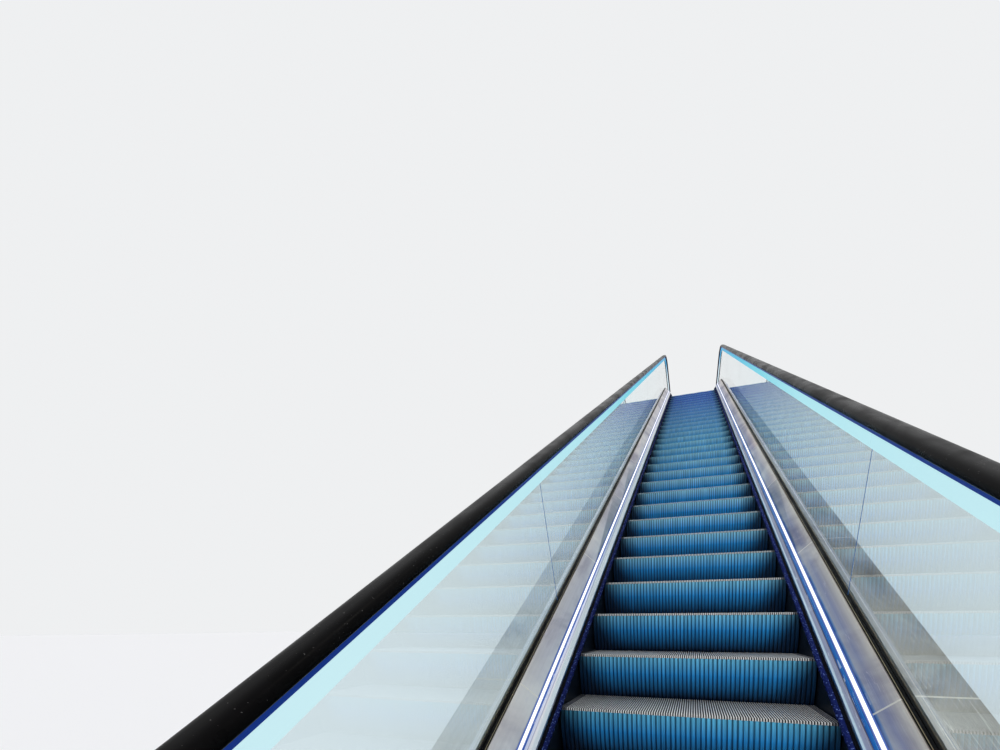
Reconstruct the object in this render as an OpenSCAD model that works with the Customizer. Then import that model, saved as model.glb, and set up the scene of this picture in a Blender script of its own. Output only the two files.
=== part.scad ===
/* [Main sizes] */

// Height between the two landings
travel_height = 7000; // [2000:200:12000]
// Width of one step
step_width = 1000; // [600:200:1000]
// Distance from one nosing to the next along the path
step_pitch = 400; // [400:1:408]
// Level run between the lower comb and the start of the lower bend
lower_level_run = 1000; // [800:100:2000]
// Level run between the end of the upper bend and the upper comb
upper_level_run = 1000; // [800:100:2000]
// Radius of the nosing path in both bends
bend_radius = 1500; // [1300:50:3000]
// How far each landing cover reaches behind its comb
landing_length = 1250; // [1000:50:2500]
// Where the first whole step stands ahead of the lower comb
step_start = 112; // [60:1:380]

/* [Steps] */

// Open joint between one tread and the next riser
step_joint = 6; // [4:0.5:8]
// Number of tread cleats across a step
cleat_count = 32; // [20:2:50]
// Thickness of one cleat
cleat_width = 12; // [3:0.5:14]
// Depth of the tread grooves
groove_depth = 11; // [8:0.5:15]
// Thickness of the tread plate under the grooves
tread_base = 5; // [3:0.5:10]
// Cleats in the marked strip at each tread end
strip_cleats = 1; // [1:1:4]
// Number of ribs across a riser
rib_count = 32; // [20:1:55]
// Depth of the riser ribs
rib_depth = 5; // [2:0.5:8]
// Thickness of the riser plate behind its ribs
riser_plate = 5; // [3:0.5:10]
// Drop of the riser below the nosing
riser_drop = 214; // [205:1:220]
// Diameter of a step wheel
wheel_diameter = 80; // [60:5:90]
// Width of a step wheel
wheel_width = 36; // [25:1:45]
// Diameter of the step axle
axle_diameter = 28; // [20:1:36]

/* [Combs and landings] */

// Length of a comb tooth
tooth_length = 80; // [60:5:100]
// Depth of a comb tooth below the top of the cleats
tooth_depth = 7; // [4:0.5:7]
// Side clearance of a comb tooth in its groove
tooth_gap = 1.5; // [1:0.1:2.5]
// Height of the landing plates above the tread level
landing_top = 16; // [12:1:25]
// Number of lift-out plates in a landing cover
cover_plates = 2; // [1:1:6]
// Thickness of a lift-out plate
cover_plate = 10; // [6:1:11]
// Width of the frame round the lift-out plates
cover_frame = 25; // [15:1:40]
// Open joint round a lift-out plate
cover_gap = 1.5; // [0.5:0.1:3]
// Length of the comb plate behind the teeth
comb_plate_length = 445; // [420:5:600]

/* [Balustrade] */

// Running gap between a step and its skirt
skirt_gap = 5; // [2:0.5:6]
// Thickness of the skirt panel
skirt_sheet = 4; // [2:0.5:6]
// Centre of the handrail from the edge of the step
rail_offset = 130; // [120:5:160]
// Height of the outer deck above the nosing line
deck_height = 200; // [185:5:240]
// Thickness of the deck sheet
deck_sheet = 3; // [2:0.5:5]
// Top of the handrail above the nosing line, measured square to it
handrail_top = 888; // [850:1:1000]
// Width of the handrail belt
belt_width = 80; // [76:1:90]
// Height of the handrail belt
belt_height = 33; // [31:1:42]
// Height of the guide that shows between the belt and the luminous strip
guide_rise = 26; // [12:1:40]
// Height of the luminous strip under the handrail
rail_light_height = 47; // [30:1:80]
// Width of the luminous strip under the handrail
rail_light_width = 28; // [22:1:32]
// Thickness of the glass
glass_thickness = 10; // [8:1:12]
// Length of one glass panel on the slope
glass_panel = 3010; // [1500:10:3500]
// First glass joint above the lower bend
first_glass_joint = 2120; // [1500:10:3000]
// Open joint between glass panels
glass_joint = 5; // [3:0.5:8]
// Length of one deck panel on the slope
deck_panel = 1330; // [1000:10:3000]
// First deck joint above the lower bend
first_deck_joint = 1430; // [800:10:3000]
// Open joint between deck, skirt and trim lengths
sheet_joint = 0.8; // [0.5:0.1:2]

/* [Body] */

// Overall width over the outer decks
overall_width = 1600; // [1420:10:1700]
// Depth of the body below the nosing line
body_depth = 900; // [800:10:1200]
// Thickness of the cladding sheet
cladding_sheet = 6; // [2:0.5:8]
// Number of cladding panels along the slope
cladding_count = 6; // [1:1:12]
// Open joint between cladding panels
cladding_joint = 5; // [2:0.5:10]
// Reach of the bearing flange beyond the body
bearing_reach = 140; // [120:5:200]
// Depth of the underside of the bearing flange below the tread level
bearing_depth = 160; // [120:5:300]
// Thickness of the bearing flange
bearing_plate = 20; // [15:1:40]
// Width of the bearing flange
bearing_width = 1200; // [800:50:1400]
// Distance between the two bolts of a bearing
bearing_bolts = 900; // [400:50:1000]
// Diameter of the bolt holes
bolt_hole = 22; // [14:1:30]

/* [Hidden] */

$fn = 96;

// Distances along the path are measured from the lower comb. The level frame of the
// lower landing has its origin where the lower bend begins, at tread level.
slope = 30;
bend_rise = bend_radius * (1 - cos(slope));
bend_going = bend_radius * sin(slope);
bend_length = bend_radius * slope * PI / 180;
slope_run = (travel_height - 2 * bend_rise) / sin(slope);
upper_y = 2 * bend_going + slope_run * cos(slope);
path_length = lower_level_run + 2 * bend_length + slope_run + upper_level_run;
step_count = ceil((path_length - step_start) / step_pitch) + 1;
fit = 0.4;

half_step = step_width / 2;
tread_length = step_pitch - step_joint;
tread_depth = groove_depth + tread_base;
cleat_pitch = step_width / cleat_count;
rib_pitch = step_width / rib_count;

half_body = overall_width / 2;
deck_overlap = 4;
clad_out = half_body - deck_overlap;
clad_in = clad_out - cladding_sheet;
skirt_in = half_step + skirt_gap;
skirt_out = skirt_in + skirt_sheet;
rail_x = half_step + rail_offset;
glass_in = rail_x - glass_thickness / 2;
glass_out = rail_x + glass_thickness / 2;

belt_bottom = handrail_top - belt_height;
light_top = belt_bottom - guide_rise;
light_bottom = light_top - rail_light_height;
glass_grip = 8;
glass_top = light_bottom + glass_grip;
return_belt = deck_height - 121;
belt_headroom = 29;
newel_height = (handrail_top + return_belt) / 2;
newel_overhang = 208;
base_reach = 300;
channel_reach = 400;
lower_newel = lower_level_run + newel_overhang;
upper_newel = upper_level_run + newel_overhang;
lower_base = lower_level_run + base_reach;
upper_base = upper_level_run + base_reach;

wheel_y = 200;
wheel_z = -190;
wheel_inset = 50;
wheel_x = half_step - wheel_inset;
wheel_radius = wheel_diameter / 2;
track_half = 25;
track_sheet = 12;
housing_top = deck_height - 140;
channel_floor = 420;

// The model stands with its origin under the lower bearing flange.
module seated() {
    translate([0, lower_level_run + landing_length + bearing_reach / 2, bearing_depth]) children();
}

module pair() {
    children();
    mirror([1, 0, 0]) children();
}

module left() {
    mirror([1, 0, 0]) children();
}

// Frames along the flight: on the slope, and at the end of the upper bend
module on_slope() {
    translate([0, 0, bend_radius]) rotate([slope, 0, 0]) translate([0, 0, -bend_radius]) children();
}

module on_upper_level() {
    translate([0, upper_y, travel_height]) children();
}

// A straight length of a cross-section, whose points are [across, above the nosing line]
module length_of(points, from, to) {
    translate([0, to, 0]) rotate([90, 0, 0]) linear_extrude(to - from) polygon(points);
}

// The level run and bend at the lower end, from a distance before the bend
module lower_end(points, reach) {
    if (reach > 0) length_of(points, -reach, 0);
    translate([0, 0, bend_radius]) rotate([0, 90, 0])
        rotate_extrude(angle = slope) polygon([for (p = points) [bend_radius - p[1], p[0]]]);
}

module upper_end(points, reach) {
    on_upper_level() {
        if (reach > 0) length_of(points, 0, reach);
        translate([0, 0, -bend_radius]) rotate([180, 0, 0]) rotate([0, 90, 0])
            rotate_extrude(angle = slope) polygon([for (p = points) [bend_radius + p[1], p[0]]]);
    }
}

// Equal lengths along the whole slope, with open joints
module slope_lengths(points, count, joint) {
    pitch = slope_run / count;
    on_slope() for (i = [0 : count - 1])
        length_of(points, i * pitch + joint / 2, (i + 1) * pitch - joint / 2);
}

// Lengths along the slope that start with a joint at a given place
module set_out_lengths(points, first, pitch, joint) {
    more = floor((slope_run - first - pitch / 3) / pitch);
    joints = concat([0], [for (i = [0 : more]) first + i * pitch], [slope_run]);
    on_slope() for (i = [0 : len(joints) - 2])
        length_of(points, joints[i] + joint / 2, joints[i + 1] - joint / 2);
}

module both_ends(points, lower_reach, upper_reach) {
    lower_end(points, lower_reach);
    upper_end(points, upper_reach);
}

// Place of a point on the nosing path
function turned(s) = s / bend_radius * 180 / PI;

function path_y(s) =
    s < lower_level_run ? s - lower_level_run :
    s < lower_level_run + bend_length ? bend_radius * sin(turned(s - lower_level_run)) :
    s < path_length - upper_level_run - bend_length ?
        bend_going + (s - lower_level_run - bend_length) * cos(slope) :
    s < path_length - upper_level_run ?
        upper_y - bend_radius * sin(turned(path_length - upper_level_run - s)) :
    upper_y + s - path_length + upper_level_run;

function path_z(s) =
    s < lower_level_run ? 0 :
    s < lower_level_run + bend_length ? bend_radius * (1 - cos(turned(s - lower_level_run))) :
    s < path_length - upper_level_run - bend_length ?
        bend_rise + (s - lower_level_run - bend_length) * sin(slope) :
    s < path_length - upper_level_run ?
        travel_height - bend_radius * (1 - cos(turned(path_length - upper_level_run - s))) :
    travel_height;

// Steps are counted from the one that lies half under the lower comb.
first_upper_step = ceil((path_length - upper_level_run - bend_length - step_start) / step_pitch);
last_lower_step = floor((lower_level_run + bend_length - step_start) / step_pitch) + 2;

module steps(from, to) {
    seated() for (i = [from : to]) {
        s = step_start + (i - 1) * step_pitch;
        translate([0, path_y(s), path_z(s)]) children();
    }
}

// A cleated plate that spans some of the cleats
function cleat_left(i) = (i - cleat_count / 2 + 0.5) * cleat_pitch - cleat_width / 2;

module cleated_plate(first, last) {
    left_edge = (first - cleat_count / 2) * cleat_pitch;
    right_edge = (last - cleat_count / 2) * cleat_pitch;
    length_of(concat(
        [[left_edge, -tread_depth], [left_edge, -groove_depth]],
        [for (i = [first : last - 1]) for (corner = [0 : 3])
            [cleat_left(i) + (corner < 2 ? 0 : cleat_width),
             (corner == 0 || corner == 3) ? -groove_depth : 0]],
        [[right_edge, -groove_depth], [right_edge, -tread_depth]]), 0, tread_length);
}

module tread() {
    cleated_plate(strip_cleats, cleat_count - strip_cleats);
}

module edge_strips() {
    cleated_plate(0, strip_cleats);
    cleated_plate(cleat_count - strip_cleats, cleat_count);
}

// The riser is a rib-faced shell, curved round the rear edge of its own tread, so the
// tread of the step below keeps the same joint to it while the steps rise or level out.
riser_inner = tread_length - rib_depth - riser_plate;
riser_start = asin((tread_depth + fit) / riser_inner);
riser_end = asin(riser_drop / tread_length);

module riser() {
    translate([0, tread_length, 0]) rotate([-90, 0, 0]) rotate([0, 90, 0]) rotate([0, 0, riser_start])
        rotate_extrude(angle = riser_end - riser_start) polygon(concat(
            [[riser_inner, -half_step], [tread_length - rib_depth, -half_step]],
            [for (i = [0 : rib_count - 1]) for (side = [1 : 2])
                [tread_length - (side - 1) * rib_depth, -half_step + (i + side / 2) * rib_pitch]],
            [[riser_inner, half_step]]));
}

// Two side brackets, an axle and the wheels that run on the tracks
bracket_inset = 95;
bracket_x = half_step - bracket_inset;
bracket_sheet = 12;
bracket_toe = 24;
bracket_heel = 8;
bracket_front = 45;
bracket_rear = 20;

module carriage() {
    pair() translate([bracket_x, 0, 0]) rotate([90, 0, 90]) linear_extrude(bracket_sheet)
        polygon([[bracket_toe, -tread_depth], [tread_length - bracket_heel, -tread_depth],
                 [tread_length - bracket_heel, -tread_depth - bracket_rear],
                 [wheel_y + axle_diameter, wheel_z - axle_diameter * 0.8],
                 [wheel_y - axle_diameter, wheel_z - axle_diameter * 0.8],
                 [bracket_toe, -tread_depth - bracket_front]]);
    axle_half = wheel_x + wheel_width / 2 + 4;
    translate([-axle_half, wheel_y, wheel_z]) rotate([0, 90, 0])
        cylinder(h = 2 * axle_half, d = axle_diameter);
    pair() translate([wheel_x - wheel_width / 2, wheel_y, wheel_z]) rotate([0, 90, 0])
        cylinder(h = wheel_width, d = wheel_diameter);
}

module treads_lower() { color("#9c9690") steps(0, last_lower_step) tread(); }
module treads_slope() { color("#9c9690") steps(last_lower_step + 1, first_upper_step - 1) tread(); }
module treads_upper() { color("#9c9690") steps(first_upper_step, step_count - 1) tread(); }
module risers_lower() { color("#14629a") steps(0, last_lower_step) riser(); }
module risers_slope() { color("#14629a") steps(last_lower_step + 1, first_upper_step - 1) riser(); }
module risers_upper() { color("#14629a") steps(first_upper_step, step_count - 1) riser(); }
module step_edge_strips() { color("#2d3036") steps(0, step_count - 1) edge_strips(); }
module step_carriages() { color("#70757a") steps(0, step_count - 1) carriage(); }

// The tracks follow the path of the wheel hubs, which is the nosing path moved bodily.
track_points = [for (p = [[-track_half, -track_sheet], [track_half, -track_sheet],
    [track_half, 0], [-track_half, 0]]) [wheel_x + p[0], p[1] - wheel_radius - fit]];
track_lower_reach = lower_level_run + channel_reach + wheel_y;
track_upper_reach = upper_level_run + channel_reach - wheel_y;

module step_tracks() {
    color("#6d7075") seated() translate([0, wheel_y, wheel_z]) pair() {
        both_ends(track_points, track_lower_reach, track_upper_reach);
        slope_lengths(track_points, 4, sheet_joint);
    }
}

post_length = 60;
post_count = 10;
track_foot = wheel_radius + fit + track_sheet;
slope_track_drop = wheel_y * sin(slope) - wheel_z * cos(slope) + track_foot;
level_track_drop = track_foot - wheel_z;

module track_post(y, drop) {
    pair() translate([wheel_x - track_half, y - post_length / 2, -channel_floor])
        cube([2 * track_half, post_length, channel_floor - drop - fit]);
}

module track_supports() {
    color("#5c6066") seated() {
        for (y = [-lower_level_run - base_reach, -lower_level_run / 2])
            track_post(y, level_track_drop);
        on_slope() for (i = [0 : post_count - 1])
            track_post(slope_run * (i + 0.5) / post_count, slope_track_drop);
        on_upper_level() for (y = [upper_level_run / 2, upper_level_run + base_reach])
            track_post(y, level_track_drop);
    }
}

// The closed body is a deep channel that holds the steps between its side walls.
function channel_points(top) = [[-clad_in, -body_depth], [clad_in, -body_depth],
    [clad_in, top], [skirt_out, top], [skirt_out, -channel_floor],
    [-skirt_out, -channel_floor], [-skirt_out, top], [-clad_in, top]];

module landing_box(level_run, side) {
    mirror([0, side, 0]) {
        length_of(channel_points(0), level_run + base_reach, level_run + channel_reach);
        length_of([[-clad_in, -body_depth], [clad_in, -body_depth], [clad_in, 0], [-clad_in, 0]],
                  level_run + channel_reach, level_run + landing_length);
    }
}

module body_lower() {
    color("#4a4d52") seated() {
        lower_end(channel_points(housing_top), lower_base);
        landing_box(lower_level_run, 1);
    }
}

module body_slope() {
    color("#4a4d52") seated() slope_lengths(channel_points(housing_top), 1, sheet_joint);
}

module body_upper() {
    color("#4a4d52") seated() {
        upper_end(channel_points(housing_top), upper_base);
        on_upper_level() landing_box(upper_level_run, 0);
    }
}

// Landing pieces are drawn at a comb line, with the steps on the +Y side.
module at_lower_comb() {
    translate([0, -lower_level_run, 0]) children();
}

module at_upper_comb() {
    on_upper_level() translate([0, upper_level_run, 0]) rotate([0, 0, 180]) children();
}

module at_combs() {
    at_lower_comb() children();
    at_upper_comb() children();
}

comb_tip = 22;
comb_root = comb_tip - tooth_length;
comb_back = comb_root - 17;
comb_bar_gap = 1.5;
comb_crown = 8;
tooth_tip = 2;
over = 5;
tooth_width = cleat_pitch - cleat_width - 2 * tooth_gap;

module comb_outline() {
    polygon(concat(
        [[-half_step, comb_back], [-half_step, comb_root]],
        [for (i = [1 : cleat_count - 1]) for (corner = [0 : 3])
            [(i - cleat_count / 2) * cleat_pitch + (corner < 2 ? -1 : 1) * tooth_width / 2,
             (corner == 0 || corner == 3) ? comb_root : comb_tip]],
        [[half_step, comb_root], [half_step, comb_back]]));
}

module comb_teeth() {
    intersection() {
        translate([0, 0, -20]) linear_extrude(50) comb_outline();
        translate([-half_step - over, 0, 0]) rotate([90, 0, 90]) linear_extrude(step_width + 2 * over)
            polygon([[comb_back - over, comb_bar_gap], [comb_root, comb_bar_gap],
                     [comb_root, -tooth_depth], [comb_tip + over, -tooth_depth],
                     [comb_tip + over, tooth_tip - tooth_depth], [comb_root + comb_crown, landing_top],
                     [comb_back - over, landing_top]]);
    }
}

comb_plate_end = comb_back - comb_plate_length;

module comb_plate() {
    side_gap = 0.5;
    over_steps = 4;
    translate([side_gap - skirt_in, 0, 0]) rotate([90, 0, 90]) linear_extrude(2 * (skirt_in - side_gap))
        polygon([[comb_back, over_steps], [comb_back, landing_top], [comb_plate_end, landing_top],
                 [comb_plate_end, 0], [-channel_reach, 0], [-channel_reach, over_steps]]);
}

front_plate_sheet = 4;

module landing_cover() {
    front = -base_reach - front_plate_sheet - fit;
    inner = clad_in - cover_frame;
    plates_front = comb_plate_end - fit - cover_frame;
    plates_back = cover_frame - landing_length;
    difference() {
        linear_extrude(landing_top) polygon([[-clad_in, -landing_length], [clad_in, -landing_length],
            [clad_in, front], [skirt_in, front], [skirt_in, comb_plate_end - fit],
            [-skirt_in, comb_plate_end - fit], [-skirt_in, front], [-clad_in, front]]);
        translate([-inner, plates_back, landing_top - cover_plate - fit])
            cube([2 * inner, plates_front - plates_back, 2 * cover_plate]);
    }
    plate_length = (plates_front - plates_back) / cover_plates;
    for (i = [0 : cover_plates - 1])
        translate([cover_gap - inner, plates_back + (i + 0.5) * plate_length, landing_top - cover_plate])
            translate([0, (cover_gap - plate_length) / 2, 0])
                cube([2 * (inner - cover_gap), plate_length - cover_gap, cover_plate]);
}

module comb_teeth_lower() { color("#c9b24a") seated() at_lower_comb() comb_teeth(); }
module comb_teeth_upper() { color("#c9b24a") seated() at_upper_comb() comb_teeth(); }
module comb_plate_lower() { color("#a8a8ac") seated() at_lower_comb() comb_plate(); }
module comb_plate_upper() { color("#a8a8ac") seated() at_upper_comb() comb_plate(); }
module landing_cover_lower() { color("#b4b4b8") seated() at_lower_comb() landing_cover(); }
module landing_cover_upper() { color("#b4b4b8") seated() at_upper_comb() landing_cover(); }

// Cross-sections of the balustrade base on the right-hand side
skirt_foot = 230;
trim_inner = skirt_in - 4;
trim_shelf = 12;
trim_back = 7;
light_x = half_step + 31;
light_y = deck_height - 96;
light_back = [5, -8];
deck_nose_x = half_step + 46;
deck_nose_y = deck_height - 79;
channel_half = 17.5;
channel_in = rail_x - channel_half;
channel_out = rail_x + channel_half;
channel_base = return_belt + belt_height + belt_headroom;
channel_top = deck_height - 8;
channel_sole = 9;
glass_foot = channel_base + channel_sole + fit;
inner_deck_top = deck_height - 14;

skirt_points = [[skirt_in, -skirt_foot], [skirt_out, -skirt_foot],
    [skirt_out, housing_top - fit], [skirt_in, housing_top - fit]];
brush_foot = landing_top + fit;
brush_top = brush_foot + 26;
holder_depth = 8;
bristle_reach = 28;
bristle_root = [brush_foot + 2, brush_foot + 16];
bristle_tip = [brush_foot + 4, brush_foot + 11];
brush_points = [[skirt_in, brush_foot], [skirt_in, brush_top], [skirt_in - holder_depth, brush_top],
    [skirt_in - holder_depth, bristle_root[1]], [skirt_in - bristle_reach, bristle_tip[1]],
    [skirt_in - bristle_reach, bristle_tip[0]], [skirt_in - holder_depth, bristle_root[0]]];
trim_points = [[trim_inner, housing_top], [skirt_out + trim_back, housing_top],
    [skirt_out + trim_back, housing_top + trim_shelf], [light_x, light_y] + light_back,
    [light_x, light_y], [trim_inner, housing_top + trim_shelf]];
light_points = [[light_x + fit, light_y + fit], [light_x + fit, light_y + fit] + light_back,
    [deck_nose_x, deck_nose_y] + light_back, [deck_nose_x, deck_nose_y]];
deck_return = 20;
deck_under_nose = [deck_nose_x + fit, deck_nose_y + fit] + light_back;
deck_under_channel = [channel_in - 1, inner_deck_top - deck_sheet - 2];
deck_under_grade =
    (deck_under_channel[1] - deck_under_nose[1]) / (deck_under_channel[0] - deck_under_nose[0]);
inner_deck_points = [deck_under_nose, deck_under_channel, [channel_in - fit, inner_deck_top - deck_return],
    [channel_in - fit, inner_deck_top], [channel_in - 4, inner_deck_top],
    [deck_nose_x + fit, deck_nose_y + fit]];
channel_profile = [[channel_in, channel_base], [channel_out, channel_base],
    [channel_out, channel_top], [glass_out, channel_top], [glass_out, channel_base + channel_sole],
    [glass_in, channel_base + channel_sole], [glass_in, channel_top], [channel_in, channel_top]];
deck_apron = 50;
deck_upstand = 40;
outer_deck_points = [[channel_out + fit, deck_height], [half_body, deck_height],
    [half_body, deck_height - deck_apron], [clad_out, deck_height - deck_apron],
    [clad_out, deck_height - deck_sheet], [channel_out + deck_sheet + fit, deck_height - deck_sheet],
    [channel_out + deck_sheet + fit, deck_height - deck_upstand],
    [channel_out + fit, deck_height - deck_upstand]];

module base_ends(points) {
    both_ends(points, lower_base, upper_base);
}

module skirt() {
    base_ends(skirt_points);
    slope_lengths(skirt_points, 6, sheet_joint);
}

module inner_deck() {
    base_ends(inner_deck_points);
    set_out_lengths(inner_deck_points, first_deck_joint, deck_panel, sheet_joint);
}

module outer_deck() {
    base_ends(outer_deck_points);
    set_out_lengths(outer_deck_points, first_deck_joint, deck_panel, sheet_joint);
}

module plain_strip(points) {
    base_ends(points);
    slope_lengths(points, 4, sheet_joint);
}

module skirt_left() { color("#20252c") seated() left() skirt(); }
module skirt_right() { color("#20252c") seated() skirt(); }
module skirt_brushes() { color("#15205a") seated() pair() plain_strip(brush_points); }
module skirt_trims() { color("#b9bdcb") seated() pair() plain_strip(trim_points); }
module skirt_lights() { color("#eef6ff") seated() pair() plain_strip(light_points); }
module inner_deck_left() { color("#a9a3ab") seated() left() inner_deck(); }
module inner_deck_right() { color("#a9a3ab") seated() inner_deck(); }
module outer_deck_left() { color("#aaa59e") seated() left() outer_deck(); }
module outer_deck_right() { color("#aaa59e") seated() outer_deck(); }
module glass_channels() { color("#0c0c0e") seated() pair() plain_strip(channel_profile); }

// Portal brackets that stand over the returning handrail and carry the glass channel
portal_half = 58;
portal_sheet = 8;
portal_length = 60;
portal_count = 13;
portal_top = channel_base - fit;

// The inner corner is cut back under the slope of the inner deck.
module glass_portal() {
    left_edge = rail_x - portal_half;
    right_edge = rail_x + portal_half;
    under_deck = deck_under_nose[1] + (left_edge - deck_under_nose[0]) * deck_under_grade - fit;
    translate([0, portal_length / 2, 0]) rotate([90, 0, 0]) linear_extrude(portal_length)
        polygon([[left_edge, housing_top], [left_edge + portal_sheet, housing_top],
                 [left_edge + portal_sheet, portal_top - portal_sheet],
                 [right_edge - portal_sheet, portal_top - portal_sheet],
                 [right_edge - portal_sheet, housing_top], [right_edge, housing_top],
                 [right_edge, portal_top],
                 [left_edge + (portal_top - under_deck) / deck_under_grade, portal_top],
                 [left_edge, under_deck]]);
}

portal_inset = 100;

module portal_row(level_run) {
    for (y = [portal_inset, (level_run + base_reach) / 2, level_run + base_reach - portal_inset])
        translate([0, y, 0]) glass_portal();
}

module glass_supports() {
    color("#5c6066") seated() pair() {
        rotate([0, 0, 180]) left() portal_row(lower_level_run);
        on_slope() for (i = [0 : portal_count - 1])
            translate([0, slope_run * (i + 0.5) / portal_count, 0]) glass_portal();
        on_upper_level() portal_row(upper_level_run);
    }
}

// Glass panels: a round-ended one at each newel, one round each bend, the rest straight
glass_points = [[glass_in, glass_foot], [glass_out, glass_foot],
                [glass_out, glass_top], [glass_in, glass_top]];
newel_glass_radius = glass_top - newel_height;
newel_glass_joint = 200;

module newel_glass(level_run) {
    foot = newel_overhang - base_reach;
    joint = level_run + newel_overhang - newel_glass_joint - glass_joint / 2;
    translate([glass_in, 0, 0]) rotate([90, 0, 90]) linear_extrude(glass_thickness) union() {
        translate([0, newel_height]) circle(newel_glass_radius);
        translate([foot, glass_foot]) square([joint - foot, newel_height - glass_foot]);
        translate([0, glass_foot]) square([joint, glass_top - glass_foot]);
    }
}

module glass_side() {
    translate([0, -lower_newel, 0]) newel_glass(lower_level_run);
    both_ends(glass_points, newel_glass_joint - glass_joint / 2, newel_glass_joint - glass_joint / 2);
    set_out_lengths(glass_points, first_glass_joint, glass_panel, glass_joint);
    on_upper_level() translate([0, upper_newel, 0]) mirror([0, 1, 0]) newel_glass(upper_level_run);
}

module glass_left() { color("#bfe0e4", 0.4) seated() left() glass_side(); }
module glass_right() { color("#bfe0e4", 0.4) seated() glass_side(); }

// A cross-section turned round a newel from its top, at the foot of the flight
module newel_turn(points, angle) {
    translate([0, 0, newel_height]) rotate([180, 0, 0]) rotate([0, 90, 0])
        rotate_extrude(angle = angle) polygon([for (p = points) [p[1] - newel_height, p[0]]]);
}

newel_wrap = 152;

module newel_strips(points, joint) {
    translate([0, -lower_newel, 0]) newel_turn(points, newel_wrap);
    length_of(points, -lower_newel, -joint);
    lower_end(points, joint - sheet_joint);
    upper_end(points, joint - sheet_joint);
    on_upper_level() {
        length_of(points, joint, upper_newel);
        translate([0, upper_newel, 0]) mirror([0, 1, 0]) newel_turn(points, newel_wrap);
    }
}

light_half = rail_light_width / 2;
glass_half = glass_thickness / 2;
rail_light_points = [for (p = [[-light_half, light_bottom], [-light_half, light_top],
    [light_half, light_top], [light_half, light_bottom], [glass_half, light_bottom],
    [glass_half, glass_top + fit], [-glass_half, glass_top + fit], [-glass_half, light_bottom]])
    [rail_x + p[0], p[1]]];
rail_light_joint = 2;
guide_stem = 12;
guide_head = 22;
guide_neck = belt_bottom + 10;
guide_top = belt_bottom + 15;
guide_points = [for (p = [[-guide_stem, light_top + fit], [guide_stem, light_top + fit],
    [guide_stem, guide_neck], [guide_head, guide_neck], [guide_head, guide_top],
    [-guide_head, guide_top], [-guide_head, guide_neck], [-guide_stem, guide_neck]])
    [rail_x + p[0], p[1]]];

module handrail_lights() {
    color("#dff6ff") seated() pair() {
        newel_strips(rail_light_points, newel_glass_joint);
        set_out_lengths(rail_light_points, first_glass_joint, glass_panel, rail_light_joint);
    }
}

module handrail_guides() {
    color("#1b2a55") seated() pair() {
        newel_strips(guide_points, newel_glass_joint);
        slope_lengths(guide_points, 4, sheet_joint);
    }
}

// The belt is one closed loop: along the top, round the upper newel, back inside the
// base and round the lower newel. Each section is [y, z, turn] of the newel-height line.
half_belt = belt_width / 2;
belt_lip = guide_neck - 1;
belt_roof = guide_top + 3;
right_half = [[guide_head + 2, belt_roof], [guide_head + 2, belt_lip], [guide_stem + 4, belt_lip],
    [guide_stem + 4, belt_bottom], [half_belt - 4, belt_bottom], [half_belt, belt_bottom + 9],
    [half_belt - 3, handrail_top - 11], [half_belt - 17, handrail_top]];
belt_section = concat(
    [for (p = right_half) [rail_x + p[0], p[1] - newel_height]],
    [for (i = [len(right_half) - 1 : -1 : 0]) [rail_x - right_half[i][0], right_half[i][1] - newel_height]]);
bend_cuts = 6;
newel_cuts = 16;

function lifted(y, z, turn) = [y - newel_height * sin(turn), z + newel_height * cos(turn), turn];

belt_forward = concat(
    [lifted(-lower_newel, 0, 0)],
    [for (i = [0 : bend_cuts]) let (a = slope * i / bend_cuts)
        lifted(bend_radius * sin(a), bend_radius * (1 - cos(a)), a)],
    [for (i = [bend_cuts : -1 : 0]) let (a = slope * i / bend_cuts)
        lifted(upper_y - bend_radius * sin(a), travel_height - bend_radius * (1 - cos(a)), a)],
    [lifted(upper_y + upper_newel, travel_height, 0)]);
belt_route = concat(
    belt_forward,
    [for (i = [1 : newel_cuts - 1])
        [upper_y + upper_newel, travel_height + newel_height, -180 * i / newel_cuts]],
    [for (i = [len(belt_forward) - 1 : -1 : 0])
        [belt_forward[i][0], belt_forward[i][1], belt_forward[i][2] - 180]],
    [for (i = [1 : newel_cuts - 1])
        [-lower_newel, newel_height, -180 - 180 * i / newel_cuts]]);

module belt_loop() {
    around = len(belt_section);
    along = len(belt_route);
    polyhedron(
        points = [for (r = belt_route) for (p = belt_section)
            [p[0], r[0] - p[1] * sin(r[2]), r[1] + p[1] * cos(r[2])]],
        faces = [for (i = [0 : along - 1]) for (j = [0 : around - 1])
            [i * around + j, i * around + (j + 1) % around,
             ((i + 1) % along) * around + (j + 1) % around, ((i + 1) % along) * around + j]]);
}

module handrail_left() { color("#0a0a0c") seated() left() belt_loop(); }
module handrail_right() { color("#0a0a0c") seated() belt_loop(); }

// The plate that closes the front of each base, and the soft collar round the belt
inlet_half = 50;
inlet_foot = return_belt - 9;
inlet_corner = deck_nose_y + 31;

module base_front_plate() {
    translate([0, -base_reach - fit / 2, 0]) rotate([90, 0, 0]) linear_extrude(front_plate_sheet)
        polygon([[trim_inner, landing_top + fit], [skirt_in, landing_top + fit],
                 [skirt_in, fit], [half_body, fit], [half_body, deck_height],
                 [rail_x + inlet_half, deck_height], [rail_x + inlet_half, inlet_foot],
                 [rail_x - inlet_half, inlet_foot], [rail_x - inlet_half, inlet_corner],
                 [deck_nose_x, deck_nose_y],
                 [light_x, light_y], [trim_inner, housing_top + trim_shelf]]);
}

collar_half = 60;
collar_depth = 40;
collar_lift = 20;
collar_foot = landing_top + collar_lift;
collar_lid = 6;
collar_top = deck_height - collar_lid;
collar_gap = 4;
collar_drop = 8;
collar_rise = 40;
collar_corner = 30;
opening_corner = 16;

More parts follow.
